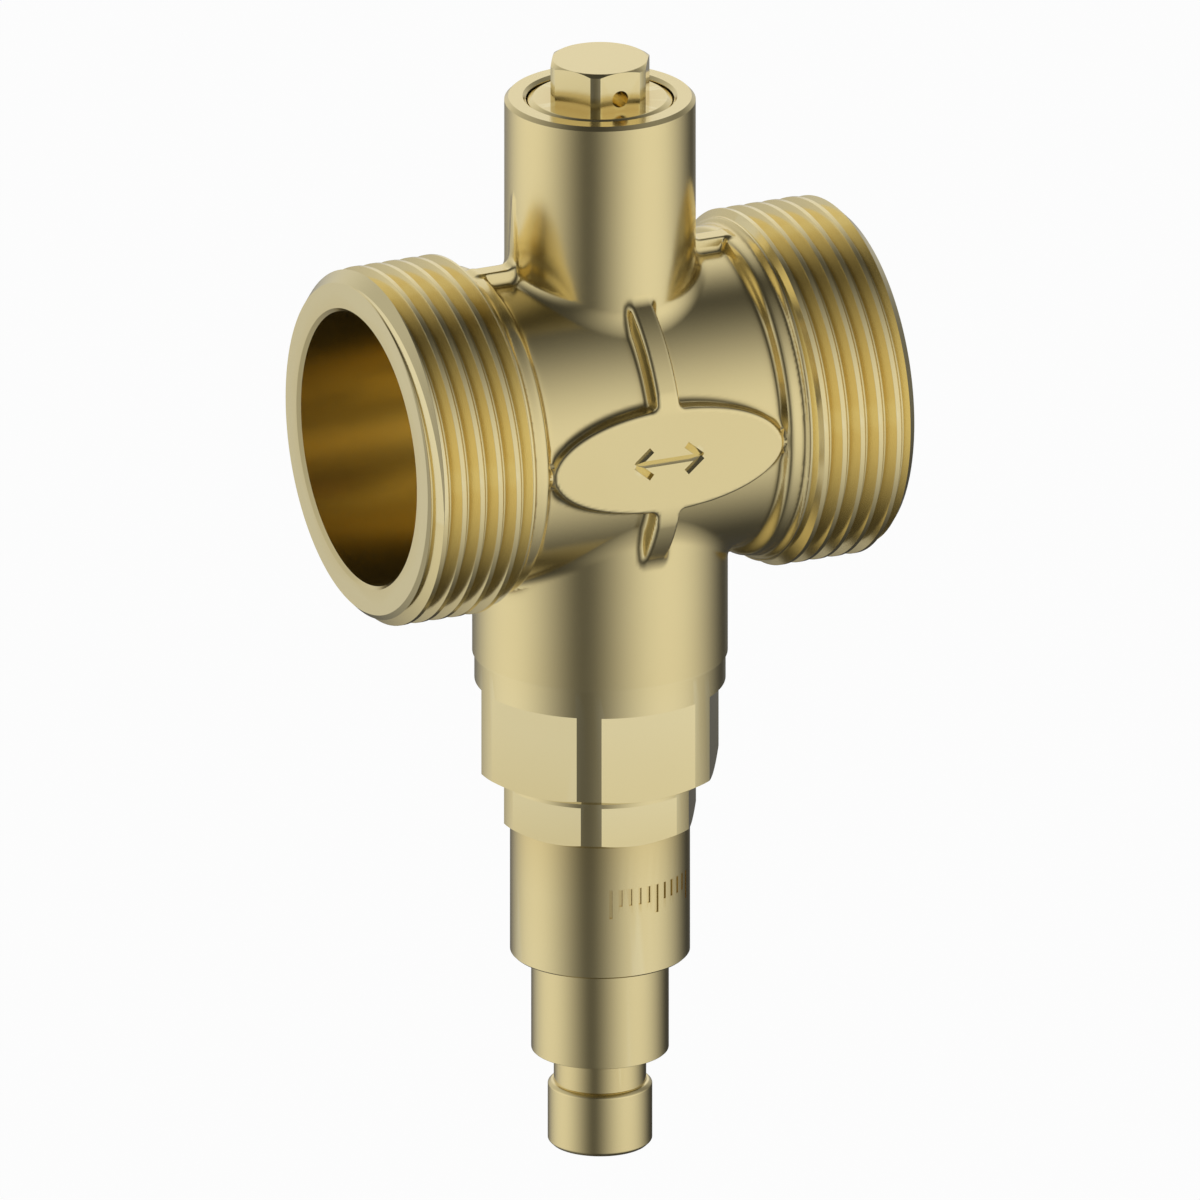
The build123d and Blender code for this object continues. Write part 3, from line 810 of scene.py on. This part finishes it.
@dataclass
class VentPlug:
    """The hexagon plug in the top boss, with its cross hole and breather chamber."""

    low_z: float = 25.4
    seat_z: float = 36.1
    flange_top_z: float = 38.6
    flange_radius: float = 8.4
    flange_chamfer: float = 0.66
    shank_radius: float = 6.95
    groove_radius: float = 5.75
    hex_flats: float = 11.05
    hex_corner_radius: float = 6.07
    hex_top_z: float = 43.35
    hex_chamfer: float = 0.35
    cross_hole_radius: float = 1.0
    cross_hole_z: float = 40.1
    groove_under_seat: tuple[float, float] = (2.3, 0.7)
    under_head: Outline = ((-2, 0.0), (-2.1, 0.3))  # from a hexagon's corner on the flange
    head_sink: float = 0.5
    head_crown: Corner = (0.05, -0.02)  # from the end of the hexagon's chamfer
    ease: float = 0.06
    cross_hole_reach: float = 9.0
    cross_hole_sides: int = 48
    chamber: Outline = (
        (4.6, 24.9), (4.6, 34.4), (1.9, 34.4), (1.9, 34.0), (1.2, 34.0), (1.2, 40.1)
    )

    def build(self) -> Piece:
        """Make the plug."""
        shank, flange, top = self.shank_radius, self.flange_radius, self.flange_top_z
        groove_z = (self.seat_z - depth for depth in self.groove_under_seat)
        outside = [
            (shank, self.low_z),
            *groove(shank, self.groove_radius, *groove_z),
            (shank, self.seat_z),
            (flange, self.seat_z),
            (flange, top - self.flange_chamfer * CHAMFER_SLOPE),
            (flange - self.flange_chamfer, top),
            *offset((self.hex_corner_radius, top), self.under_head),
        ]
        piece = turned("vent_plug_turned", outside, ease=self.ease)
        hex_end = (self.hex_corner_radius - self.hex_chamfer / CHAMFER_SLOPE, self.hex_top_z)
        envelope = [
            (self.hex_corner_radius, top - self.head_sink),
            (self.hex_corner_radius, self.hex_top_z - self.hex_chamfer),
            *offset(hex_end, [self.head_crown]),
            hex_end,
        ]
        combine(piece, hexagon("plug_head", self.hex_flats, envelope), Solid.JOIN)
        combine(piece, turned("chamber", self.chamber), Solid.CUT)
        reach, sides = self.cross_hole_reach, self.cross_hole_sides
        hole = rod("cross_hole", self.cross_hole_radius, -reach, reach, Along.ACROSS, sides)
        lift(hole, self.cross_hole_z)
        combine(piece, hole, Solid.CUT)
        shade(piece)
        return piece


@dataclass
class Gripped:
    """A housing with a spanner hexagon below its collar, chamfered at its lower end."""

    hex_start_z: float
    hex_end_z: float
    hex_flats: float
    hex_chamfer: float
    collar_radius: float
    groove_radius: float
    groove_rises: tuple[float, float]
    hex_sink: float = 0.5
    ease: float = 0.08

    def grip(self, name: str) -> Piece:
        """The hexagon, which sinks a little into the collar."""
        envelope = [
            (self.collar_radius - self.hex_chamfer / CHAMFER_SLOPE, self.hex_end_z),
            (self.collar_radius, self.hex_end_z + self.hex_chamfer),
            (self.collar_radius, self.hex_start_z + self.hex_sink),
        ]
        return hexagon(name, self.hex_flats, envelope)

    def outside(self, face_z: float, shank: float, top_z: float) -> list[Corner]:
        """The outline of the collar and of the grooved shank on its face, from below."""
        groove_z = (face_z + rise for rise in self.groove_rises)
        return [
            (self.collar_radius, self.hex_start_z),
            (self.collar_radius, face_z),
            (shank, face_z),
            *groove(shank, self.groove_radius, *groove_z),
            (shank, top_z),
        ]


@dataclass
class CartridgeHousing(Gripped):
    """The threaded housing with the large hexagon below the body."""

    hex_start_z: float = -32.7
    hex_end_z: float = -43.75
    hex_flats: float = 26.5
    hex_chamfer: float = 0.75
    collar_radius: float = 14.54
    groove_radius: float = 10.75
    groove_rises: tuple[float, float] = (0.7, 2.4)
    face_z: float = -29.33
    top_z: float = -20.9
    shank_radius: float = 11.95
    inside: Outline = (
        (9.4, -44.25), (9.4, -37.4), (7.0, -37.4), (7.0, -36.2), (8.6, -36.2),
        (8.6, -22.4), (9.35, -22.4), (9.35, -21.55), (8.6, -21.55), (8.6, -20.4),
    )

    def build(self) -> Piece:
        """Make the housing."""
        outside = self.outside(self.face_z, self.shank_radius, self.top_z)
        piece = turned("cartridge_housing_turned", outside, ease=self.ease)
        combine(piece, self.grip("large_grip"), Solid.JOIN)
        combine(piece, turned("inside", self.inside), Solid.CUT)
        shade(piece)
        return piece


@dataclass
class LowerHousing(Gripped):
    """The housing with the small hexagon and the long sleeve, with its plain engraved scale."""

    hex_start_z: float = -44.8
    hex_end_z: float = -50.05
    hex_flats: float = 21.45
    hex_chamfer: float = 0.6
    collar_radius: float = 11.75
    groove_radius: float = 8.45
    groove_rises: tuple[float, float] = (0.7, 2.1)
    joint_z: float = -43.75
    spigot_top_z: float = -38.25
    spigot_radius: float = 9.35
    sleeve_end_z: float = -66.27
    sleeve_radius: float = 10.415
    sleeve_chamfer: float = 0.2
    sleeve_sink: float = 0.6
    inside: Outline = ((5.85, -66.77), (5.85, -60.0), (7.0, -60.0), (7.0, -37.75))
    ticks: int = 11
    ticks_per_long_tick: int = 5
    tick_length: float = 2.0
    long_tick_length: float = 3.4
    tick_top_z: float = -55.4
    tick_margin: float = 0.2
    tick_depth: float = 0.16
    tick_width: float = 0.34
    first_tick_angle: float = -108.0
    tick_spacing: float = 6.5

    def build(self) -> Piece:
        """Make the housing."""
        outside = self.outside(self.joint_z, self.spigot_radius, self.spigot_top_z)
        piece = turned("lower_housing_turned", outside, ease=self.ease)
        combine(piece, self.grip("small_grip"), Solid.JOIN)
        radius, end = self.sleeve_radius, self.sleeve_end_z
        sleeve = [
            (radius - self.sleeve_chamfer, end),
            (radius, end + self.sleeve_chamfer),
            (radius, self.tick_top_z - self.long_tick_length - self.tick_margin),
            (radius, self.tick_top_z + self.tick_margin),
            (radius, self.hex_end_z + self.sleeve_sink),
        ]
        combine(piece, turned("sleeve", sleeve), Solid.JOIN)
        combine(piece, turned("inside", self.inside), Solid.CUT)
        self.engrave(piece)
        shade(piece)
        return piece

    def engrave(self, piece: Piece) -> None:
        """Cut a plain scale of upright ticks into the sleeve.

        Args:
            piece: the housing.
        """
        for number in range(self.ticks):
            long_tick = number % self.ticks_per_long_tick == 0
            length = self.long_tick_length if long_tick else self.tick_length
            angle = math.radians(self.first_tick_angle + number * self.tick_spacing)
            tick = block(
                "tick",
                (self.sleeve_radius, 0, self.tick_top_z - length / 2),
                (2 * self.tick_depth, self.tick_width, length),
            )
            tick.rotation_euler = (0, 0, angle)
            settle(tick)
            combine(piece, tick, Solid.CUT)


@dataclass
class OutletNozzle:
    """The turned nozzle with its necked tip, where the drained water leaves."""

    tip_z: float = -89.77
    tip_radius: float = 6.05
    tip_round: float = 0.4
    neck_top_z: float = -78.23
    neck_low_z: float = -82.2
    neck_radius: float = 5.35
    step_radius: float = 7.965
    shoulder_z: float = -66.27
    spigot_radius: float = 5.8
    groove_radius: float = 4.9
    groove_rises: tuple[float, float] = (0.7, 2.1)
    top_z: float = -60.67
    bore_radius: float = 3.6
    mouth: Outline = ((0.8, -0.5), (0.0, 0.3))  # from the bore's edge at the tip
    cut_over: float = 0.5
    ease: float = 0.12

    def build(self) -> Piece:
        """Make the nozzle."""
        tip, neck, shoulder = self.tip_radius, self.neck_low_z, self.shoulder_z
        groove_z = (shoulder + rise for rise in self.groove_rises)
        outside = [
            (tip - self.tip_round, self.tip_z),
            (tip, self.tip_z + self.tip_round),
            (tip, neck - self.tip_round),
            (tip - self.tip_round, neck),
            (self.neck_radius, neck),
            (self.neck_radius, self.neck_top_z),
            (self.step_radius, self.neck_top_z),
            (self.step_radius, shoulder),
            (self.spigot_radius, shoulder),
            *groove(self.spigot_radius, self.groove_radius, *groove_z),
            (self.spigot_radius, self.top_z),
        ]
        piece = turned("outlet_nozzle_turned", outside, ease=self.ease)
        mouth = offset((self.bore_radius, self.tip_z), self.mouth)
        bore = [*mouth, (self.bore_radius, self.top_z + self.cut_over)]
        combine(piece, turned("bore", bore), Solid.CUT)
        shade(piece)
        return piece


@dataclass
class CoilSpring:
    """A round-wire compression spring with ground ends, between two bodies."""

    name: str
    mean_radius: float
    wire: float
    low_z: float
    high_z: float
    turns: float
    from_body: str
    to_body: str
    from_high: bool = False
    wire_sides: int = 12
    steps_per_turn: int = 24
    grinding_sides: int = 64
    sharp: float = 50.0

    def build(self) -> Piece:
        """Wind the spring and grind its ends."""
        wire_radius = self.wire / 2
        sink = wire_radius / 2
        rise = self.high_z - self.low_z - 2 * (wire_radius - sink)
        bpy.ops.mesh.primitive_circle_add(
            vertices=self.wire_sides,
            radius=wire_radius * MM,
            location=(self.mean_radius * MM, 0, (self.low_z + wire_radius - sink) * MM),
            rotation=(math.pi / 2, 0, 0),
        )
        piece = placed(self.name)
        wind(piece, "Z", self.turns, rise, round(self.steps_per_turn * self.turns))
        with editing(piece, selected=False):
            bpy.ops.mesh.select_non_manifold()
            bpy.ops.mesh.fill_holes(sides=0)
        outward(piece)
        clear = self.mean_radius + self.wire
        ends = [(clear, self.low_z), (clear, self.high_z)]
        combine(piece, turned("grinding", ends, segments=self.grinding_sides), Solid.TRIM)
        shade(piece, self.sharp, turning=False)
        return piece

    def follow(self, piece: Piece) -> None:
        """Settle the spring's place and turn into its mesh."""
        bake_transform(piece)


# Finishes


class Lay(Enum):
    """Which way the fine marks of a finish run."""

    NONE = (900.0, 900.0, 900.0)
    STEM = (40.0, 40.0, 7000.0)


# Painted shade: low pointiness darkens hollow corners and creases; high pointiness gives sharp
# outer edges a lighter tone.
EDGE_TONES = {"Deep": (0.5, 0.42), "Bright": (0.52, 0.62)}  # pointiness with no tone and all
FINE_MARKS = {"Scale": 1.0, "Detail": 3.0}
BROAD_DETAIL = 2.0


def feed(tree: Tree, node: bpy.types.Node, feeds: Feeds) -> None:
    """Set the inputs of a node, or link them where an output is given."""
    for key, value in feeds.items():
        if isinstance(value, Socket):
            tree.links.new(value, node.inputs[key])
        else:
            node.inputs[key].default_value = value


def wired(tree: Tree, kind: str, feeds: Feeds, **settings: object) -> bpy.types.bpy_prop_collection:
    """Add a shader node, set it up and feed its inputs.

    Args:
        tree: the tree that it joins.
        kind: its type, without the prefix of all shader nodes.
        feeds: a value or a node's output for each input, by name or number.
        settings: its properties by name.

    Returns:
        The node's outputs.
    """
    node = tree.nodes.new(f"ShaderNode{kind}")
    for key, value in settings.items():
        setattr(node, key, value)
    feed(tree, node, feeds)
    return node.outputs


def effect(name: str, inputs: dict[str, str], outputs: dict[str, str]) -> Tree:
    """Start a shader node group with named sockets.

    Args:
        name: the group's name.
        inputs: socket types of its inputs by name.
        outputs: socket types of its outputs by name.

    Returns:
        The group, with its input and output nodes.
    """
    tree = bpy.data.node_groups.new(name, "ShaderNodeTree")
    for in_out, sockets in (("INPUT", inputs), ("OUTPUT", outputs)):
        for socket, kind in sockets.items():
            tree.interface.new_socket(socket, in_out=in_out, socket_type=kind)
    tree.nodes.new("NodeGroupInput")
    tree.nodes.new("NodeGroupOutput")
    return tree


def grain_effect() -> Tree:
    """Fine marks that run one way, as from blasting or turning, over soft broad tone."""
    tree = effect(
        "Surface marks",
        {"Lay": "NodeSocketVector", "Broad size": "NodeSocketFloat"},
        {"Marks": "NodeSocketFloat", "Tone": "NodeSocketFloat"},
    )
    start = tree.nodes["Group Input"].outputs
    place = wired(tree, "TexCoord", {})["Object"]
    along = wired(tree, "Mapping", {"Vector": place, "Scale": start["Lay"]})["Vector"]
    fine = wired(tree, "TexNoise", {"Vector": along, **FINE_MARKS})
    feeds = {"Vector": place, "Scale": start["Broad size"], "Detail": BROAD_DETAIL}
    broad = wired(tree, "TexNoise", feeds)
    feed(tree, tree.nodes["Group Output"], {"Marks": fine["Fac"], "Tone": broad["Fac"]})
    return tree


def edge_effect() -> Tree:
    """Painted shade darkening hollow corners and creases, and a lighter tone on sharp outer edges,
    both from the shape itself.
    """
    tree = effect(
        "Edges and corners",
        {"Base": "NodeSocketColor", "Deep": "NodeSocketColor", "Bright": "NodeSocketColor"},
        {"Colour": "NodeSocketColor"},
    )
    start = tree.nodes["Group Input"].outputs
    shape = wired(tree, "NewGeometry", {})["Pointiness"]
    colour = start["Base"]
    for tone, (none, full) in EDGE_TONES.items():
        share = wired(tree, "MapRange", {"Value": shape, "From Min": none, "From Max": full})
        feeds = {"Factor": share["Result"], "A": colour, "B": start[tone]}
        colour = wired(tree, "Mix", feeds, data_type="RGBA")["Result"]
    feed(tree, tree.nodes["Group Output"], {"Colour": colour})
    return tree


@dataclass(frozen=True)
class Finish:
    """The finish of one kind of surface: its colours, with painted shade in its creases, its gloss
    and fine marks.
    """

    name: str
    slot: str
    base: tuple[float, float, float]
    # painted shade: the colour that creases and hollow corners are darkened towards; half of it
    # also tints the soft random tone
    crease_shade_and_tone: tuple[float, float, float]
    bright: tuple[float, float, float]
    metallic: float = 1.0
    roughness: float = 0.26
    roughness_spread: float = 0.02
    lay: Lay = Lay.NONE
    mark_depth: float = 0.0006
    broad_size: float = 60.0
    broad_range: tuple[float, float] = (0.4, 0.75)
    broad_share: float = 0.35

    def material(self, effects: dict[str, Tree]) -> bpy.types.Material:
        """Make the material.

        Args:
            effects: the shared node groups by name.

        Returns:
            The material.
        """
        made = bpy.data.materials.new(self.name)
        made.use_nodes = True
        tree = made.node_tree
        lay = {"Lay": self.lay.value, "Broad size": self.broad_size}
        marks = wired(tree, "Group", lay, node_tree=effects["marks"])
        low, high = self.broad_range
        broad = {"From Min": low, "From Max": high, "To Max": self.broad_share}
        broad["Value"] = marks["Tone"]
        tone = {
            "Factor": wired(tree, "MapRange", broad)["Result"],
            "A": (*self.base, 1),
            "B": (*(0.5 * (b + d) for b, d in zip(self.base, self.crease_shade_and_tone)), 1),
        }
        tones = {
            "Base": wired(tree, "Mix", tone, data_type="RGBA")["Result"],
            # painted shade for creases and hollow corners
            "Deep": (*self.crease_shade_and_tone, 1),
            "Bright": (*self.bright, 1),
        }
        gloss = {
            "Value": marks["Marks"],
            "To Min": self.roughness - self.roughness_spread,
            "To Max": self.roughness + self.roughness_spread,
        }
        bump = {"Distance": self.mark_depth * MM, "Height": marks["Marks"]}
        surface = {
            "Metallic": self.metallic,
            "Base Color": wired(tree, "Group", tones, node_tree=effects["edges"])["Colour"],
            "Roughness": wired(tree, "MapRange", gloss)["Result"],
            "Normal": wired(tree, "Bump", bump)["Normal"],
        }
        feed(tree, tree.nodes["Principled BSDF"], surface)
        return made


# Painted shade: the darker brass that creases and hollow corners are darkened towards, also half
# mixed into the soft random tone.
SHADE_AND_TONE_BRASS = (0.8, 0.64, 0.3)
BRIGHT_BRASS = (0.91, 0.79, 0.45)
BRASS = ((0.882, 0.744, 0.39), SHADE_AND_TONE_BRASS, BRIGHT_BRASS)
DULL_BRASS = ((0.66, 0.52, 0.25), SHADE_AND_TONE_BRASS, BRIGHT_BRASS)

FORGED_BRASS = Finish(
    "forged_brass_blasted", "forged_brass", *BRASS, roughness=0.2, mark_depth=0.0003
)
TURNED_BRASS = Finish(
    "turned_brass_satin",
    "turned_brass",
    *BRASS,
    roughness=0.17,
    lay=Lay.STEM,
    mark_depth=0.0004,
)
INNER_BRASS = Finish(
    "inner_brass_turned", "inner_brass", *DULL_BRASS, roughness=0.3, lay=Lay.STEM
)
SEAL_RUBBER = Finish(
    "seal_rubber_moulded",
    "seal_rubber",
    (0.02, 0.021, 0.023),
    (0.01, 0.01, 0.011),
    (0.05, 0.05, 0.052),
    metallic=0.0,
    roughness=0.6,
    mark_depth=0.01,
)
SPRING_STEEL = Finish(
    "spring_steel_drawn",
    "spring_steel",
    (0.56, 0.57, 0.58),
    (0.3, 0.3, 0.31),
    (0.7, 0.7, 0.72),
    roughness=0.24,
)
CAPSULE_COPPER = Finish(
    "capsule_copper_drawn",
    "capsule_copper",
    (0.78, 0.42, 0.28),
    (0.45, 0.2, 0.11),
    (0.86, 0.54, 0.4),
    roughness=0.28,
    lay=Lay.STEM,
)

CARRIED_OVER: dict[Finish, tuple[str, ...]] = {
    SEAL_RUBBER: (
        "vent_plug_seal",
        "vent_poppet_seal",
        "cartridge_seal",
        "drain_seal",
        "lower_housing_seal",
        "outlet_nozzle_seal",
    ),
    INNER_BRASS: ("vent_poppet", "capsule_carrier", "spring_plate", "obturator", "seat_ring"),
    SPRING_STEEL: ("vent_spring_retainer", "capsule_piston", "spring_plate_snap_ring"),
    CAPSULE_COPPER: ("wax_capsule",),
}

SPRINGS = (
    CoilSpring("vent_spring_wound", 3.2, 0.4, 26.2, 31.6, 3.0, "valve", "vent_poppet"),
    CoilSpring(
        "overtravel_spring_wound", 4.85, 0.95, -33.0, -23.6, 3.5, "valve", "wax_capsule", True
    ),
    CoilSpring("return_spring_wound", 5.6, 0.85, -57.5, -46.0, 3.5, "valve", "drain_plunger"),
)


# Studio


def towards(azimuth: float, elevation: float) -> Vector:
    """The direction with this azimuth and this elevation, both in degrees."""
    turn, tilt = math.radians(azimuth), math.radians(elevation)
    level = math.cos(tilt)
    return Vector((math.sin(turn) * level, -math.cos(turn) * level, math.sin(tilt)))


@dataclass(frozen=True)
class Softbox:
    """One soft white field in the light tent, seen from the valve.

    The azimuth is counted from the camera's, and all angles are in degrees.
    """

    azimuth: float
    elevation: float
    fade: float
    level: float = 0.94
    core: float = 8.0

    def shine(self, tree: Tree, direction: Socket, facing: float) -> Socket:
        """Add the field to the tent's cloth.

        Args:
            tree: the cloth's nodes.
            direction: where on the tent a point lies, as a direction.
            facing: the camera's azimuth.

        Returns:
            The field's brightness.
        """
        feeds = {0: direction, 1: towards(facing + self.azimuth, self.elevation)}
        value = wired(tree, "VectorMath", feeds, operation="DOT_PRODUCT")["Value"]
        steps = (
            ("ARCCOSINE", {}),
            ("SUBTRACT", {1: math.radians(self.core)}),
            ("MULTIPLY", {1: self.fade}),
            ("MAXIMUM", {1: 0.0}),
            ("MINIMUM", {1: math.pi / 2}),
            ("COSINE", {}),
            ("POWER", {1: 2.0}),
            ("MULTIPLY", {1: self.level}),
        )
        for operation, amount in steps:
            value = wired(tree, "Math", {0: value, **amount}, operation=operation)["Value"]
        return value


@dataclass
class Studio:
    """The floor, the soft light, the light tent and the camera."""

    azimuth: float = -25.0
    elevation: float = 20.0
    pixels_per_mm: float = 8.647
    picture: int = 1200
    origin_row: float = 410.3
    camera_distance: float = 0.8
    clip_start: float = 0.01
    floor_z: float = -0.70
    floor_size: float = 8.0
    floor_tone: float = 0.88
    floor_roughness: float = 0.9
    floor_white: float = 0.95
    tent_radius: float = 0.62
    tent_segments: int = 48
    tent_shade: float = 0.06
    tent_level: float = 0.833
    world_tint: Place = (0.97, 0.985, 1.0)
    world_level: float = 0.55
    lamp_directions: tuple[tuple[float, float], ...] = ((-60, 45), (45, 40))
    lamp_distance: float = 1.2
    lamp_size: float = 0.9
    softboxes: tuple[Softbox, ...] = (
        Softbox(63, -3, 1.15),
        Softbox(-92, -5, 1.15),
        Softbox(180, 24, 1.8),
    )

    def camera(self) -> None:
        """Set the camera at the photograph's angle."""
        turn, back = math.radians(self.azimuth), towards(self.azimuth, self.elevation)
        up = back.cross(Vector((math.cos(turn), math.sin(turn), 0)))
        target = -up * ((self.picture / 2 - self.origin_row) / self.pixels_per_mm * MM)
        bpy.ops.object.camera_add(location=target + back * self.camera_distance)
        camera = bpy.context.object
        camera.rotation_euler = back.to_track_quat("Z", "Y").to_euler()
        camera.data.type = "ORTHO"
        camera.data.ortho_scale = self.picture / self.pixels_per_mm * MM
        camera.data.clip_start = self.clip_start
        bpy.context.scene.camera = camera

    def backdrop_rays(self, tree: Tree) -> Socket:
        """A mask of the rays that see the white background: camera, glossy and transmission."""
        path = wired(tree, "LightPath", {})
        mask = path["Is Camera Ray"]
        for ray in ("Is Glossy Ray", "Is Transmission Ray"):
            mask = wired(tree, "Math", {0: mask, 1: path[ray]}, operation="MAXIMUM")["Value"]
        return mask

    def world(self) -> None:
        """Light the scene from all round, softly, before a white background."""
        world = bpy.data.worlds.new("studio")
        bpy.context.scene.world = world
        world.use_nodes = True
        tree = world.node_tree
        light = tree.nodes["Background"]
        feed(tree, light, {"Color": (*self.world_tint, 1), "Strength": self.world_level})
        white = wired(tree, "Background", {"Color": (1, 1, 1, 1), "Strength": 1.0})["Background"]
        feeds = {"Fac": self.backdrop_rays(tree), 1: light.outputs["Background"], 2: white}
        shader = wired(tree, "MixShader", feeds)["Shader"]
        feed(tree, tree.nodes["World Output"], {"Surface": shader})

    def floor(self) -> None:
        """Lay the pale floor well below the valve, which hangs in its pipe."""
        bpy.ops.mesh.primitive_plane_add(size=self.floor_size, location=(0, 0, self.floor_z))
        floor = placed("floor")
        pale = bpy.data.materials.new("pale_floor")
        pale.use_nodes = True
        tree = pale.node_tree
        shader = tree.nodes["Principled BSDF"]
        tone = (*[self.floor_tone] * 3, 1)
        feed(tree, shader, {"Base Color": tone, "Roughness": self.floor_roughness})
        white = wired(tree, "Emission", {})["Emission"]
        feeds = {0: self.backdrop_rays(tree), 1: self.floor_white}
        share = wired(tree, "Math", feeds, operation="MULTIPLY")["Value"]
        mix = wired(tree, "MixShader", {"Fac": share, 1: shader.outputs["BSDF"], 2: white})
        feed(tree, tree.nodes["Material Output"], {"Surface": mix["Shader"]})
        floor.data.materials.append(pale)

    def tent(self) -> None:
        """Hang the light tent, which only reflections show: soft fields with shade between."""
        rings = self.tent_segments // 2
        bpy.ops.mesh.primitive_uv_sphere_add(
            segments=self.tent_segments, ring_count=rings, radius=self.tent_radius
        )
        tent = placed("light_tent")
        with editing(tent):
            bpy.ops.mesh.flip_normals()
        cloth = bpy.data.materials.new("tent_cloth")
        cloth.use_nodes = True
        tree = cloth.node_tree
        place = wired(tree, "TexCoord", {})["Object"]
        direction = wired(tree, "VectorMath", {0: place}, operation="NORMALIZE")["Vector"]
        total = self.tent_shade
        for softbox in self.softboxes:
            feeds = {0: softbox.shine(tree, direction, self.azimuth), 1: total}
            total = wired(tree, "Math", feeds, operation="ADD", use_clamp=True)["Value"]
        feeds = {"Color": (*[self.tent_level] * 3, 1), "Strength": total}
        glow = wired(tree, "Emission", feeds)["Emission"]
        feed(tree, tree.nodes["Material Output"], {"Surface": glow})
        tent.data.materials.append(cloth)
        for rays in ("camera", "diffuse", "transmission", "shadow"):
            setattr(tent, f"visible_{rays}", False)

    def lamps(self) -> None:
        """Hang two large soft lamps, no brighter in the metal than the background."""
        for azimuth, elevation in self.lamp_directions:
            away = towards(self.azimuth + azimuth, elevation)
            bpy.ops.object.light_add(type="AREA", location=away * self.lamp_distance)
            lamp = bpy.context.object
            lamp.rotation_euler = away.to_track_quat("Z", "Y").to_euler()
            lamp.data.size = self.lamp_size
            lamp.data.energy = math.pi * self.lamp_size**2
            lamp.visible_glossy = False

    def build(self) -> None:
        """Set up the whole studio."""
        self.camera()
        self.world()
        self.floor()
        self.lamps()
        self.tent()
        bpy.context.scene.view_settings.view_transform = "Standard"


def finished(
    piece: Piece, finish: Finish, materials: dict[Finish, bpy.types.Material], *nodes: str
) -> None:
    """Give a piece its material and let it stand for its CAD nodes.

    Args:
        piece: the finished mesh.
        finish: its finish.
        materials: the made materials by finish.
        nodes: the CAD nodes that it stands for.
    """
    piece.data.materials.clear()
    piece.data.materials.append(materials[finish])
    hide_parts(*nodes)
    triangles = sum(len(face.vertices) - 2 for face in piece.data.polygons)
    log.info("%s stands for %s: %d triangles", piece.name, ", ".join(nodes), triangles)


def main() -> None:
    """Build, dress and light the valve."""
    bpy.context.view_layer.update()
    Studio().build()
    effects = {"marks": grain_effect(), "edges": edge_effect()}
    finishes = {FORGED_BRASS, TURNED_BRASS, *CARRIED_OVER}
    materials = {
        finish: finish.material(effects) for finish in sorted(finishes, key=lambda f: f.name)
    }
    turned_pieces = {
        "vent_plug": VentPlug(),
        "cartridge_housing": CartridgeHousing(),
        "lower_housing": LowerHousing(),
        "outlet_nozzle": OutletNozzle(),
    }
    body = ValveBody().build()
    finished(body, FORGED_BRASS, materials, "valve_body")
    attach(body, "valve")
    for node, maker in turned_pieces.items():
        piece = maker.build()
        finished(piece, TURNED_BRASS, materials, node)
        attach(piece, "valve")
    for spring in SPRINGS:
        piece = spring.build()
        finished(piece, SPRING_STEEL, materials, spring.name.removesuffix("_wound"))
        spring.follow(piece)
    for finish, nodes in CARRIED_OVER.items():
        for node in nodes:
            for material_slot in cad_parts[node].material_slots:
                material_slot.link = "OBJECT"
                material_slot.material = materials[finish]
            log.info("%s has the finish %s", node, finish.name)


if __name__ == "__main__":
    logging.basicConfig(level=logging.INFO, format="%(message)s")
    main()
